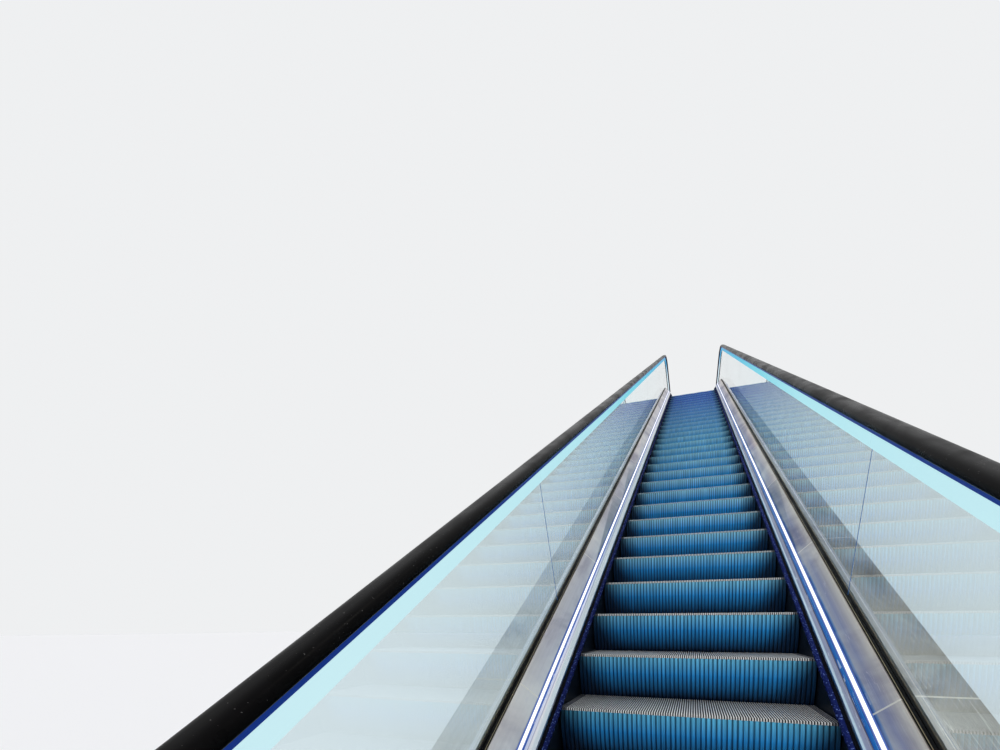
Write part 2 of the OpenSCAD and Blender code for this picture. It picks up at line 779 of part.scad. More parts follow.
// A rectangle with round corners, as [left, right, low, high, radius]
module round_rectangle(box) {
    r = box[4];
    translate([box[0] + r, box[2]]) square([box[1] - box[0] - 2 * r, box[3] - box[2]]);
    translate([box[0], box[2] + r]) square([box[1] - box[0], box[3] - box[2] - 2 * r]);
    for (x = [box[0] + r, box[1] - r]) for (y = [box[2] + r, box[3] - r])
        translate([x, y]) circle(r);
}

module inlet_collar() {
    translate([rail_x, -base_reach - front_plate_sheet - fit, 0]) rotate([90, 0, 0])
        linear_extrude(collar_depth) difference() {
            round_rectangle([-collar_half, collar_half, collar_foot, collar_top, collar_corner]);
            round_rectangle([-half_belt - collar_gap, half_belt + collar_gap,
                             return_belt - collar_drop, return_belt + belt_height + collar_rise,
                             opening_corner]);
            translate([-glass_thickness / 2 - fit, return_belt])
                square([glass_thickness + 2 * fit, deck_height]);
        }
}

module base_front_plates() { color("#a9a3ab") seated() at_combs() pair() base_front_plate(); }
module handrail_inlets() { color("#101114") seated() at_combs() pair() inlet_collar(); }

// Cladding and soffit, in panels that stop at the landings
clad_drop = 35;
clad_top = deck_height - clad_drop;
clad_points = [[clad_in, -body_depth], [clad_out, -body_depth],
               [clad_out, clad_top], [clad_in, clad_top]];
clad_end_points = [[clad_in, -body_depth], [clad_out, -body_depth],
                   [clad_out, landing_top], [clad_in, landing_top]];

module cladding() {
    length_of(clad_end_points, -lower_level_run - landing_length, -lower_base - cladding_joint);
    length_of(clad_points, -lower_base, -cladding_joint);
    both_ends(clad_points, 0, 0);
    slope_lengths(clad_points, cladding_count, cladding_joint);
    on_upper_level() {
        length_of(clad_points, cladding_joint, upper_base);
        length_of(clad_end_points, upper_base + cladding_joint, upper_level_run + landing_length);
    }
}

soffit_points = [for (p = [[cladding_joint / 2, -cladding_sheet], [clad_out, -cladding_sheet],
    [clad_out, 0], [cladding_joint / 2, 0]]) [p[0], p[1] - body_depth - fit]];

module cladding_left() { color("#e9e7e4") seated() left() cladding(); }
module cladding_right() { color("#e9e7e4") seated() cladding(); }

module soffit() {
    color("#e9e7e4") seated() pair() {
        length_of(soffit_points, -lower_level_run - landing_length, -cladding_joint);
        both_ends(soffit_points, 0, 0);
        slope_lengths(soffit_points, cladding_count, cladding_joint);
        on_upper_level() length_of(soffit_points, cladding_joint, upper_level_run + landing_length);
    }
}

// The angle that carries each end of the body, with gussets and two bolt holes
gusset_sheet = 12;
gusset_count = 5;

module bearing() {
    difference() {
        translate([-bearing_width / 2, -landing_length, -bearing_depth]) rotate([90, 0, 0])
            cube([bearing_width, bearing_plate, bearing_reach]);
        for (x = [-bearing_bolts / 2, bearing_bolts / 2])
            translate([x, -landing_length - bearing_reach / 2 - bearing_plate / 2, -bearing_depth - 1])
                cylinder(h = bearing_plate + 2, d = bolt_hole);
    }
    translate([-bearing_width / 2, -landing_length, bearing_plate - bearing_depth]) rotate([90, 0, 0])
        cube([bearing_width, bearing_depth - bearing_plate - 10, bearing_plate]);
    for (i = [0 : gusset_count - 1])
        translate([(i / (gusset_count - 1) - 0.5) * (bearing_width - gusset_sheet) - gusset_sheet / 2, 0, 0])
            rotate([90, 0, 90]) linear_extrude(gusset_sheet) polygon([
                [-landing_length - bearing_plate, -20],
                [-landing_length - bearing_plate, bearing_plate - bearing_depth],
                [-landing_length - bearing_reach + 15, bearing_plate - bearing_depth]]);
}

module bearing_lower() { color("#55595f") seated() at_lower_comb() bearing(); }
module bearing_upper() { color("#55595f") seated() at_upper_comb() bearing(); }

body_lower();
body_slope();
body_upper();
track_supports();
step_tracks();
step_carriages();
treads_lower();
treads_slope();
treads_upper();
risers_lower();
risers_slope();
risers_upper();
step_edge_strips();
comb_teeth_lower();
comb_teeth_upper();
comb_plate_lower();
comb_plate_upper();
landing_cover_lower();
landing_cover_upper();
skirt_left();
skirt_right();
skirt_brushes();
skirt_trims();
skirt_lights();
inner_deck_left();
inner_deck_right();
outer_deck_left();
outer_deck_right();
glass_channels();
glass_supports();
glass_left();
glass_right();
handrail_lights();
handrail_guides();
handrail_left();
handrail_right();
handrail_inlets();
base_front_plates();
cladding_left();
cladding_right();
soffit();
bearing_lower();
bearing_upper();
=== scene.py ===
"""Dressed model of a glass-sided escalator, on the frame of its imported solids."""
import logging
import math
from collections.abc import Callable
from dataclasses import dataclass, field
from enum import Enum
from functools import cache

import bmesh
import bpy
from mathutils import Matrix, Vector


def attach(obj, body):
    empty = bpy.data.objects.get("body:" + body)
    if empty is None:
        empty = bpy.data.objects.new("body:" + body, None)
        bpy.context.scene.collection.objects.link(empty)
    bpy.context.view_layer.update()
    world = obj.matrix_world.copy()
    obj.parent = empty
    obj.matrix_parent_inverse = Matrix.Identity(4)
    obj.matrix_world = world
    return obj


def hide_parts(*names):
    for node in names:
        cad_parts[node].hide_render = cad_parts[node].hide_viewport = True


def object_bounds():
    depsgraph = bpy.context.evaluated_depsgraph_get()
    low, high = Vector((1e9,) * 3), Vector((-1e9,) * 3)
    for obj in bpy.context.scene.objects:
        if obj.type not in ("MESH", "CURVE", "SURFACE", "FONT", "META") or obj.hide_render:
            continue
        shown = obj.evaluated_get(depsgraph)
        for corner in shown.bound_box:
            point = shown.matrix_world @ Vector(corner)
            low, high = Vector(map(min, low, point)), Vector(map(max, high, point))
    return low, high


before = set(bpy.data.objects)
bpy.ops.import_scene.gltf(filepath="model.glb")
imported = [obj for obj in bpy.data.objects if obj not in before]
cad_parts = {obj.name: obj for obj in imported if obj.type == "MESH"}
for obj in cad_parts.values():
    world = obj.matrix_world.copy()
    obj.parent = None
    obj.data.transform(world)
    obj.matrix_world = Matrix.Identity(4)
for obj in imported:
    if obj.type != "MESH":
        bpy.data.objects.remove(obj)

LOG = logging.getLogger("escalator")
CAD_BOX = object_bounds()
BODY = "root"
SURFACE_MAP = "surface"

Socket = bpy.types.NodeSocket
Feed = Socket | float | tuple
Color = tuple[float, float, float]
Stops = tuple[tuple[float, Color], ...]


# The flight

@dataclass(frozen=True)
class Flight:
    """Sizes of the flight in metres, and the frames that its pieces are set out in."""

    rise: float = 7.0
    radius: float = 1.5
    slope: float = math.radians(30)
    level_run: float = 1.0
    base_front: float = 0.3
    seat_y: float = 2.32
    seat_z: float = 0.16
    pitch: float = 0.4
    first_step: float = 0.112
    half_step: float = 0.5
    riser_ribs: int = 55
    rail_x: float = 0.63
    newel_overhang: float = 0.208
    newel_height: float = 0.4835

    @property
    def bend_reach(self) -> float:
        """Level distance covered by one bend."""
        return self.radius * math.sin(self.slope)

    @property
    def bend_rise(self) -> float:
        """Height gained in one bend."""
        return self.radius * (1 - math.cos(self.slope))

    @property
    def slope_run(self) -> float:
        """Length of the straight slope between the two bends."""
        return (self.rise - 2 * self.bend_rise) / math.sin(self.slope)

    @property
    def upper_y(self) -> float:
        """Level distance between the start of the lower bend and the end of the upper one."""
        return 2 * self.bend_reach + self.slope_run * math.cos(self.slope)

    @property
    def bend_length(self) -> float:
        """Length of the nosing path in one bend."""
        return self.radius * self.slope

    @property
    def path_length(self) -> float:
        """Length of the nosing path from comb to comb."""
        return 2 * self.level_run + 2 * self.bend_length + self.slope_run

    @property
    def newel_reach(self) -> float:
        """Distance from the start of a bend to the centre of its newel."""
        return self.level_run + self.newel_overhang

    @property
    def base_run(self) -> float:
        """Level run from the front of the base to the start of a bend."""
        return self.level_run + self.base_front

    @property
    def uphill(self) -> Vector:
        """Direction of the straight slope."""
        return Vector((0.0, math.cos(self.slope), math.sin(self.slope)))

    @property
    def lower_centre(self) -> Vector:
        """Centre of the lower bend."""
        return self.seated() @ Vector((0.0, 0.0, self.radius))

    @property
    def upper_centre(self) -> Vector:
        """Centre of the upper bend."""
        return self.on_upper_level() @ Vector((0.0, 0.0, -self.radius))

    def seated(self) -> Matrix:
        """The frame of the lower landing: the start of the lower bend, at tread level."""
        return Matrix.Translation((0.0, self.seat_y, self.seat_z))

    def on_slope(self) -> Matrix:
        """The frame of the slope, with its origin at the end of the lower bend."""
        lift = Matrix.Translation((0.0, 0.0, self.radius))
        return self.seated() @ lift @ Matrix.Rotation(self.slope, 4, "X") @ lift.inverted()

    def on_upper_level(self) -> Matrix:
        """The frame of the upper landing: the end of the upper bend, at tread level."""
        return self.seated() @ Matrix.Translation((0.0, self.upper_y, self.rise))

    def nosing(self, along: float) -> Vector:
        """Returns a point of the nosing path in the row frame.

        Args:
            along: distance from the lower comb, measured on the path.

        Returns:
            The point, in metres.
        """
        bend, top = self.bend_length, self.path_length
        end = along > top / 2
        rest = (top - along if end else along) - self.level_run
        if rest < 0:
            y, z = rest, 0.0
        elif rest < bend:
            turned = rest / self.radius
            y, z = self.radius * math.sin(turned), self.radius * (1 - math.cos(turned))
        else:
            y = self.bend_reach + (rest - bend) * math.cos(self.slope)
            z = self.bend_rise + (rest - bend) * math.sin(self.slope)
        if end:
            y, z = self.upper_y - y, self.rise - z
        return Vector((0.0, y + self.seat_y, z + self.seat_z))

    def steps(self) -> list[Vector]:
        """The nosing of every step, from the one under the lower comb upwards."""
        count = math.ceil((self.path_length - self.first_step) / self.pitch) + 1
        return [self.nosing(self.first_step + (i - 1) * self.pitch) for i in range(count)]


FLIGHT = Flight()


# Shader building

def solid(color: Color) -> tuple[float, float, float, float]:
    """The colour with full alpha."""
    return (*color, 1.0)


def grey(level: float) -> Color:
    """A grey of one level."""
    return (level, level, level)


class Graph:
    """Adds nodes and links to one node tree."""

    def __init__(self, tree: bpy.types.NodeTree) -> None:
        """Keeps the tree and empties it.

        Args:
            tree: the node tree to fill.
        """
        self.tree = tree
        tree.nodes.clear()

    def add(self, kind: str, values: dict[int | str, Feed] | None = None,
            **settings: object) -> bpy.types.Node:
        """Adds one node.

        Args:
            kind: the node's type name.
            values: input socket name or index, with a number, colour or socket to feed it.
            **settings: attributes of the node itself.

        Returns:
            The new node.
        """
        node = self.tree.nodes.new(kind)
        for key, value in settings.items():
            setattr(node, key, value)
        for key, value in (values or {}).items():
            self.feed(node.inputs[key], value)
        return node

    def feed(self, socket: Socket, value: Feed) -> None:
        """Links an output to the socket, or sets the socket's own value.

        Args:
            socket: the input socket.
            value: an output socket, a number or a tuple.
        """
        if isinstance(value, Socket):
            self.tree.links.new(value, socket)
        else:
            socket.default_value = value

    def math(self, operation: str, a: Feed, b: Feed = 0.0, clamp: bool = False) -> Socket:
        """Returns the output of a Math node.

        Args:
            operation: the node's operation.
            a: first value.
            b: second value.
            clamp: whether the result is kept between 0 and 1.

        Returns:
            The value socket.
        """
        return self.add("ShaderNodeMath", {0: a, 1: b}, operation=operation, use_clamp=clamp).outputs[0]

    def ramp(self, factor: Feed, stops: Stops) -> Socket:
        """Returns the colour of a Color Ramp.

        Args:
            factor: the socket that drives it.
            stops: position and colour of each stop.

        Returns:
            The colour socket.
        """
        node = self.add("ShaderNodeValToRGB", {0: factor})
        bar = node.color_ramp.elements
        while len(bar) < len(stops):
            bar.new(0.5)
        for stop, (place, color) in zip(bar, stops):
            stop.position, stop.color = place, solid(color)
        return node.outputs[0]

    def span(self, value: Feed, low: Feed, high: Feed, to_low: float = 0.0, to_high: float = 1.0) -> Socket:
        """Returns a value mapped from one range to another, clamped.

        Args:
            value: the socket to map.
            low: start of the first range.
            high: end of the first range.
            to_low: start of the second range.
            to_high: end of the second range.

        Returns:
            The value socket.
        """
        ends = {1: low, 2: high, 3: to_low, 4: to_high}
        return self.add("ShaderNodeMapRange", {0: value, **ends}).outputs[0]

    def mix(self, factor: Feed, a: Feed, b: Feed, blend: str = "MIX") -> Socket:
        """Returns two colours mixed.

        Args:
            factor: how much of the second colour.
            a: first colour.
            b: second colour.
            blend: the blend type.

        Returns:
            The colour socket.
        """
        node = self.add("ShaderNodeMix", {0: factor}, data_type="RGBA", blend_type=blend)
        self.feed(node.inputs[6], a)
        self.feed(node.inputs[7], b)
        return node.outputs[2]

    def where(self) -> Socket:
        """The Object coordinates of the shaded point."""
        return self.add("ShaderNodeTexCoord").outputs["Object"]

    def object_axis(self, axis: str) -> Socket:
        """One Object coordinate of the shaded point: X, Y or Z."""
        return self.add("ShaderNodeSeparateXYZ", {0: self.where()}).outputs[axis]

    def surface(self) -> tuple[Socket, Socket]:
        """Reads the piece's own surface map.

        Returns:
            Both of its coordinates.
        """
        spot = self.add("ShaderNodeUVMap", uv_map=SURFACE_MAP).outputs[0]
        split = self.add("ShaderNodeSeparateXYZ", {0: spot})
        return split.outputs[0], split.outputs[1]

    def place(self, scale: tuple, turn: tuple = (0.0, 0.0, 0.0)) -> Socket:
        """Returns stretched object coordinates.

        Args:
            scale: factor along each axis.
            turn: rotation about each axis, in radians.

        Returns:
            The vector socket.
        """
        settings = {0: self.where(), "Rotation": turn, "Scale": scale}
        return self.add("ShaderNodeMapping", settings).outputs[0]

    def noise(self, vector: Socket, scale: Feed, detail: float = 3.0, rough: float = 0.5,
              twist: float = 0.0) -> Socket:
        """Returns the value of a Noise texture.

        Args:
            vector: coordinates.
            scale: noise scale.
            detail: octaves.
            rough: roughness of the octaves.
            twist: distortion.

        Returns:
            The value socket.
        """
        settings = {"Vector": vector, "Scale": scale, "Detail": detail, "Roughness": rough,
                    "Distortion": twist}
        return self.add("ShaderNodeTexNoise", settings).outputs[0]


def make_group(name: str, inputs: dict[str, float], outputs: dict[str, str]) -> tuple[Graph, dict, dict]:
    """Starts a shader node group with named sockets.

    Args:
        name: the group's name.
        inputs: name and default of each float input.
        outputs: name and socket type of each output.

    Returns:
        The graph, its input sockets by name and its output sockets by name.
    """
    tree = bpy.data.node_groups.new(name, "ShaderNodeTree")
    graph = Graph(tree)
    for key, value in inputs.items():
        socket = tree.interface.new_socket(key, in_out="INPUT", socket_type="NodeSocketFloat")
        socket.default_value = value
    for key, kind in outputs.items():
        tree.interface.new_socket(key, in_out="OUTPUT", socket_type=kind)
    start, end = graph.add("NodeGroupInput"), graph.add("NodeGroupOutput")
    return graph, {key: start.outputs[key] for key in inputs}, {key: end.inputs[key] for key in outputs}


class Effect(Enum):
    """The effects that several finishes share, each a node group."""

    GRAIN = "long_grain"
    SMUDGE_AND_SHEEN = "smudges"
    SCRATCH = "scratches"
    DUST_AND_SHEEN = "dust"

    def group(self) -> bpy.types.NodeTree:
        """Returns the effect's node group, built on first use."""
        return bpy.data.node_groups.get(self.value) or BUILDERS[self]()

    def use(self, graph: Graph, **values: float) -> bpy.types.Node:
        """Places the effect in a graph.

        Args:
            graph: the material's graph.
            **values: the group's inputs.

        Returns:
            The group node.
        """
        node = graph.add("ShaderNodeGroup", node_tree=self.group())
        for key, value in values.items():
            graph.feed(node.inputs[key.capitalize()], value)
        return node


def grain_group() -> bpy.types.NodeTree:
    """Fine lines that run along the flight, as long-grain brushing leaves them.

    Returns:
        The node group.
    """
    graph, given, out = make_group("long_grain", {"Amount": 1.0}, {"Value": "NodeSocketFloat"})
    fine = graph.noise(graph.place((1300.0, 2.2, 2.2)), 1.0, 2.0)
    wide = graph.noise(graph.place((160.0, 0.9, 0.9)), 1.0, 2.0)
    both = graph.math("ADD", graph.math("MULTIPLY", fine, 0.6), graph.math("MULTIPLY", wide, 0.4))
    level = graph.math("MULTIPLY", graph.math("SUBTRACT", both, 0.5), given["Amount"])
    graph.feed(out["Value"], graph.math("ADD", level, 0.5, clamp=True))
    return graph.tree


def smudge_and_sheen_group() -> bpy.types.NodeTree:
    """Soft cloudy patches: smudges from hands, shoes and wiping, and on the decks the patches of painted
    reflection and painted highlight.

    Returns:
        The node group.
    """
    graph, given, out = make_group("smudges", {"Scale": 3.0, "Low": 0.45, "High": 0.7},
                                   {"Mask": "NodeSocketFloat"})
    cloud = graph.noise(graph.place((1.6, 0.8, 0.8)), given["Scale"], 5.0, 0.62, 0.7)
    graph.feed(out["Mask"], graph.span(cloud, given["Low"], given["High"]))
    return graph.tree


def scratch_group() -> bpy.types.NodeTree:
    """Thin stray scratches in three directions.

    Returns:
        The node group.
    """
    graph, given, out = make_group("scratches", {"Width": 0.012, "Density": 0.5},
                                   {"Mask": "NodeSocketFloat"})
    total = None
    for turn, stretch in ((0.5, 90.0), (-0.75, 70.0), (1.2, 110.0)):
        waves = graph.noise(graph.place((stretch, 1.6, 1.6), (0.0, 0.0, turn)), 1.0, 1.0, 0.4)
        near = graph.math("ABSOLUTE", graph.math("SUBTRACT", waves, 0.5))
        line = graph.math("LESS_THAN", near, given["Width"])
        patch = graph.noise(graph.place((5.0, 5.0, 5.0), (turn, 0.0, turn)), 1.0, 2.0)
        kept = graph.math("MULTIPLY", line, graph.math("GREATER_THAN", patch, given["Density"]))
        total = kept if total is None else graph.math("MAXIMUM", total, kept)
    graph.feed(out["Mask"], total)
    return graph.tree


def dust_and_sheen_group() -> bpy.types.NodeTree:
    """Small scattered specks: dust on the rubber, and flecks of painted highlight on the bristles.

    Returns:
        The node group.
    """
    graph, given, out = make_group("dust", {"Scale": 400.0, "Threshold": 0.68}, {"Mask": "NodeSocketFloat"})
    speck = graph.noise(graph.where(), given["Scale"], 2.0)
    graph.feed(out["Mask"], graph.math("GREATER_THAN", speck, given["Threshold"]))
    return graph.tree


BUILDERS = {Effect.GRAIN: grain_group, Effect.SMUDGE_AND_SHEEN: smudge_and_sheen_group,
            Effect.SCRATCH: scratch_group, Effect.DUST_AND_SHEEN: dust_and_sheen_group}


# Finishes

@dataclass(frozen=True)
class Finish:
    """A finish: its name, colour and the plain values of its shader."""

    name: str
    color: Color
    roughness: float = 0.5
    metallic: float = 0.0

    @cache
    def build(self) -> bpy.types.Material:
        """Builds the finish on first use.

        Returns:
            The material.
        """
        material = bpy.data.materials.new(f"{self.name}_finish")
        material.use_nodes = True
        material.diffuse_color = solid(self.color)
        graph = Graph(material.node_tree)
        plain = {"Base Color": solid(self.color), "Roughness": self.roughness, "Metallic": self.metallic}
        shader = graph.add("ShaderNodeBsdfPrincipled", plain)
        end = graph.add("ShaderNodeOutputMaterial")
        graph.feed(end.inputs["Surface"], shader.outputs[0])
        self.detail(graph, shader)
        return material

    def detail(self, graph: Graph, shader: bpy.types.Node) -> None:
        """Adds the variation of the surface.

        Args:
            graph: the material's graph.
            shader: its Principled shader.
        """

    def shade(self, factor: float) -> tuple[float, float, float, float]:
        """The colour made lighter or darker by a factor, with full alpha."""
        return solid(tuple(min(1.0, channel * factor) for channel in self.color))

    def climb(self, graph: Graph) -> Socket:
        """How far up the flight a point is: 0 at the lower floor, 1 at the upper one."""
        return graph.span(graph.object_axis("Z"), FLIGHT.seat_z, FLIGHT.seat_z + FLIGHT.rise)

    def roughen(self, graph: Graph, mask: Socket, amount: float, offset: float = 0.0) -> Socket:
        """Returns the roughness made higher where a mask is high.

        Args:
            graph: the material's graph.
            mask: the mask, from 0 to 1.
            amount: how much rougher the surface is under the mask.
            offset: what is added everywhere.

        Returns:
            The roughness socket.
        """
        return graph.math("ADD", graph.math("MULTIPLY", mask, amount), self.roughness + offset)

    def bump(self, graph: Graph, shader: bpy.types.Node, height: Socket, depth: float) -> None:
        """Feeds a height to the shader's normal.

        Args:
            graph: the material's graph.
            shader: its Principled shader.
            height: the height socket, from 0 to 1.
            depth: real depth of the relief, in metres.
        """
        node = graph.add("ShaderNodeBump", {"Height": height, "Distance": depth, "Strength": 1.0})
        graph.feed(shader.inputs["Normal"], node.outputs[0])


@dataclass(frozen=True)
class Brushed(Finish):
    """Long-grain brushed sheet with smudges and stray scratches, pale warm patches of painted glare, and
    dark patches that are stains, and on the inner decks painted dark reflections.

    Lanes are colours at distances from the middle of the flight: the sheet's own tone with painted
    highlights, shaded facets, reflections and the blue glow of the skirt lights painted over it. Joints are
    the first joint of the sheet on the slope and the length from one to the next, each shown as a pale
    line.
    """

    metallic: float = 1.0
    # Dark patches: stains, and on the inner decks painted dark reflections.
    stain_and_reflection: float = 0.3
    left_stain_and_reflection: float = 1.0
    grain: float = 1.0
    patch: Color = (0.30, 0.29, 0.29)
    # Pale warm patches of painted glare, a painted highlight.
    painted_glare: float = 0.0
    painted_glare_color: Color = (0.86, 0.82, 0.77)
    lanes: Stops = ()
    left_lanes: Stops = ()
    joints: tuple[float, float] | None = None
    joint_color: Color = (0.95, 0.88, 0.80)
    joint_reach: tuple[float, float] = (0.003, 0.0045)
    relief: float = 0.00006

    def pale_joint_lines(self, graph: Graph) -> Socket:
        """A pale line along the edges of each joint between two lengths on the slope.

        Args:
            graph: the material's graph.

        Returns:
            The mask socket.
        """
        first, pitch = self.joints
        ahead = FLIGHT.uphill
        foot = FLIGHT.on_slope().translation.dot(ahead)
        along = graph.add("ShaderNodeVectorMath", {0: graph.where(), 1: ahead},
                          operation="DOT_PRODUCT").outputs["Value"]
        past = graph.math("SUBTRACT", along, foot + first - pitch / 2)
        share = graph.math("FRACT", graph.math("DIVIDE", past, pitch))
        apart = graph.math("ABSOLUTE", graph.math("SUBTRACT", share, 0.5))
        full, none = self.joint_reach
        half = FLIGHT.slope_run / 2
        on_slope = graph.add("ShaderNodeMath", {0: along, 1: foot + half, 2: half},
                             operation="COMPARE").outputs[0]
        return graph.math("MULTIPLY", graph.span(apart, none / pitch, full / pitch), on_slope)

    def lit_lane_color(self, graph: Graph) -> Socket:
        """The colour of lanes along the flight, each set by its distance from the middle; on the decks and
        trims the lanes are painted light over the metal's own tone.

        Args:
            graph: the material's graph.

        Returns:
            The colour socket.
        """
        across = graph.object_axis("X")
        side = graph.math("ABSOLUTE", across)
        colors = []
        for lanes in (self.lanes, self.left_lanes or self.lanes):
            low, high = lanes[0][0], lanes[-1][0]
            stops = [((place - low) / (high - low), color) for place, color in lanes]
            colors.append(graph.ramp(graph.span(side, low, high), stops))
        return graph.mix(graph.math("LESS_THAN", across, 0.0), *colors)

    def detail(self, graph: Graph, shader: bpy.types.Node) -> None:
        """Adds grain, smudges and scratches, painted glare, dark patches and pale joint lines.

        Args:
            graph: the material's graph.
            shader: its Principled shader.
        """
        grain = Effect.GRAIN.use(graph, amount=self.grain).outputs[0]
        smudge = Effect.SMUDGE_AND_SHEEN.use(graph, scale=2.4, low=0.47, high=0.68).outputs[0]
        scratch = Effect.SCRATCH.use(graph, width=0.006, density=0.54).outputs[0]
        # Lanes paint highlights, shaded facets, reflections and blue glow across decks and trims.
        sheet = self.lit_lane_color(graph) if self.lanes else self.shade(1.0)
        brushing = graph.ramp(grain, ((0.3, grey(0.82)), (0.7, grey(1.0))))
        tone = graph.mix(1.0, sheet, brushing, "MULTIPLY")
        right = graph.math("GREATER_THAN", graph.object_axis("X"), 0.0)
        stain_and_reflection = graph.span(right, 0.0, 1.0, self.left_stain_and_reflection * self.stain_and_reflection, self.stain_and_reflection)
        # Dark patches: stains, and on the inner decks painted dark reflections.
        tone = graph.mix(graph.math("MULTIPLY", smudge, stain_and_reflection), tone, solid(self.patch))
        if self.painted_glare:
            # Pale warm patches of painted highlight.
            bright = Effect.SMUDGE_AND_SHEEN.use(graph, scale=0.8, low=0.5, high=0.62).outputs[0]
            tone = graph.mix(graph.math("MULTIPLY", bright, self.painted_glare), tone, solid(self.painted_glare_color))
        if self.joints:
            # A pale line along each joint.
            worn = graph.math("MULTIPLY", self.pale_joint_lines(graph), 0.7)
            tone = graph.mix(worn, tone, solid(self.joint_color))
        marked = graph.mix(graph.math("MULTIPLY", scratch, 0.35), tone, self.shade(1.5))
        graph.feed(shader.inputs["Base Color"], marked)
        rough = self.roughen(graph, smudge, 0.16, -0.08)
        rough = graph.math("ADD", rough, graph.math("MULTIPLY", grain, 0.14))
        graph.feed(shader.inputs["Roughness"], rough)
        height = graph.math("SUBTRACT", grain, graph.math("MULTIPLY", scratch, 0.4))
        self.bump(graph, shader, height, self.relief)


@dataclass(frozen=True)
class Painted(Finish):
    """Sprayed paint with a faint texture and some handling marks."""

    texture: float = 0.00004
    shine: float = 0.5

    def detail(self, graph: Graph, shader: bpy.types.Node) -> None:
        """Adds tone, a fine peel and marks.

        Args:
            graph: the material's graph.
            shader: its Principled shader.
        """
        shader.inputs["Specular IOR Level"].default_value = self.shine
        smudge = Effect.SMUDGE_AND_SHEEN.use(graph, scale=0.9, low=0.4, high=0.75).outputs[0]
        graph.feed(shader.inputs["Base Color"], graph.mix(smudge, self.shade(1.03), self.shade(0.93)))
        graph.feed(shader.inputs["Roughness"], self.roughen(graph, smudge, 0.1, -0.03))
        peel = graph.noise(graph.place((1.0, 1.0, 1.0)), 260.0, 1.0)
        self.bump(graph, shader, peel, self.texture)


@dataclass(frozen=True)
class Ribbed(Finish):
    """Landing plate with fine anti-slip ribs along the way of travel."""

    metallic: float = 1.0
    pitch: float = 0.008
    depth: float = 0.0012

    def detail(self, graph: Graph, shader: bpy.types.Node) -> None:
        """Adds ribs, worn tops and dark grooves.

        Args:
            graph: the material's graph.
            shader: its Principled shader.
        """
        wave = graph.math("SINE", graph.math("MULTIPLY", graph.object_axis("X"), 2 * math.pi / self.pitch))
        rib = graph.span(wave, -0.3, 0.3)
        smudge = Effect.SMUDGE_AND_SHEEN.use(graph, scale=3.0, low=0.42, high=0.7).outputs[0]
        scratch = Effect.SCRATCH.use(graph, width=0.006, density=0.5).outputs[0]
        tone = graph.mix(rib, self.shade(0.35), self.shade(1.05))
        tone = graph.mix(graph.math("MULTIPLY", smudge, 0.3), tone, self.shade(0.6))
        tone = graph.mix(graph.math("MULTIPLY", scratch, 0.3), tone, self.shade(1.4))
        graph.feed(shader.inputs["Base Color"], tone)
        graph.feed(shader.inputs["Roughness"], self.roughen(graph, smudge, 0.2))
        self.bump(graph, shader, rib, self.depth)


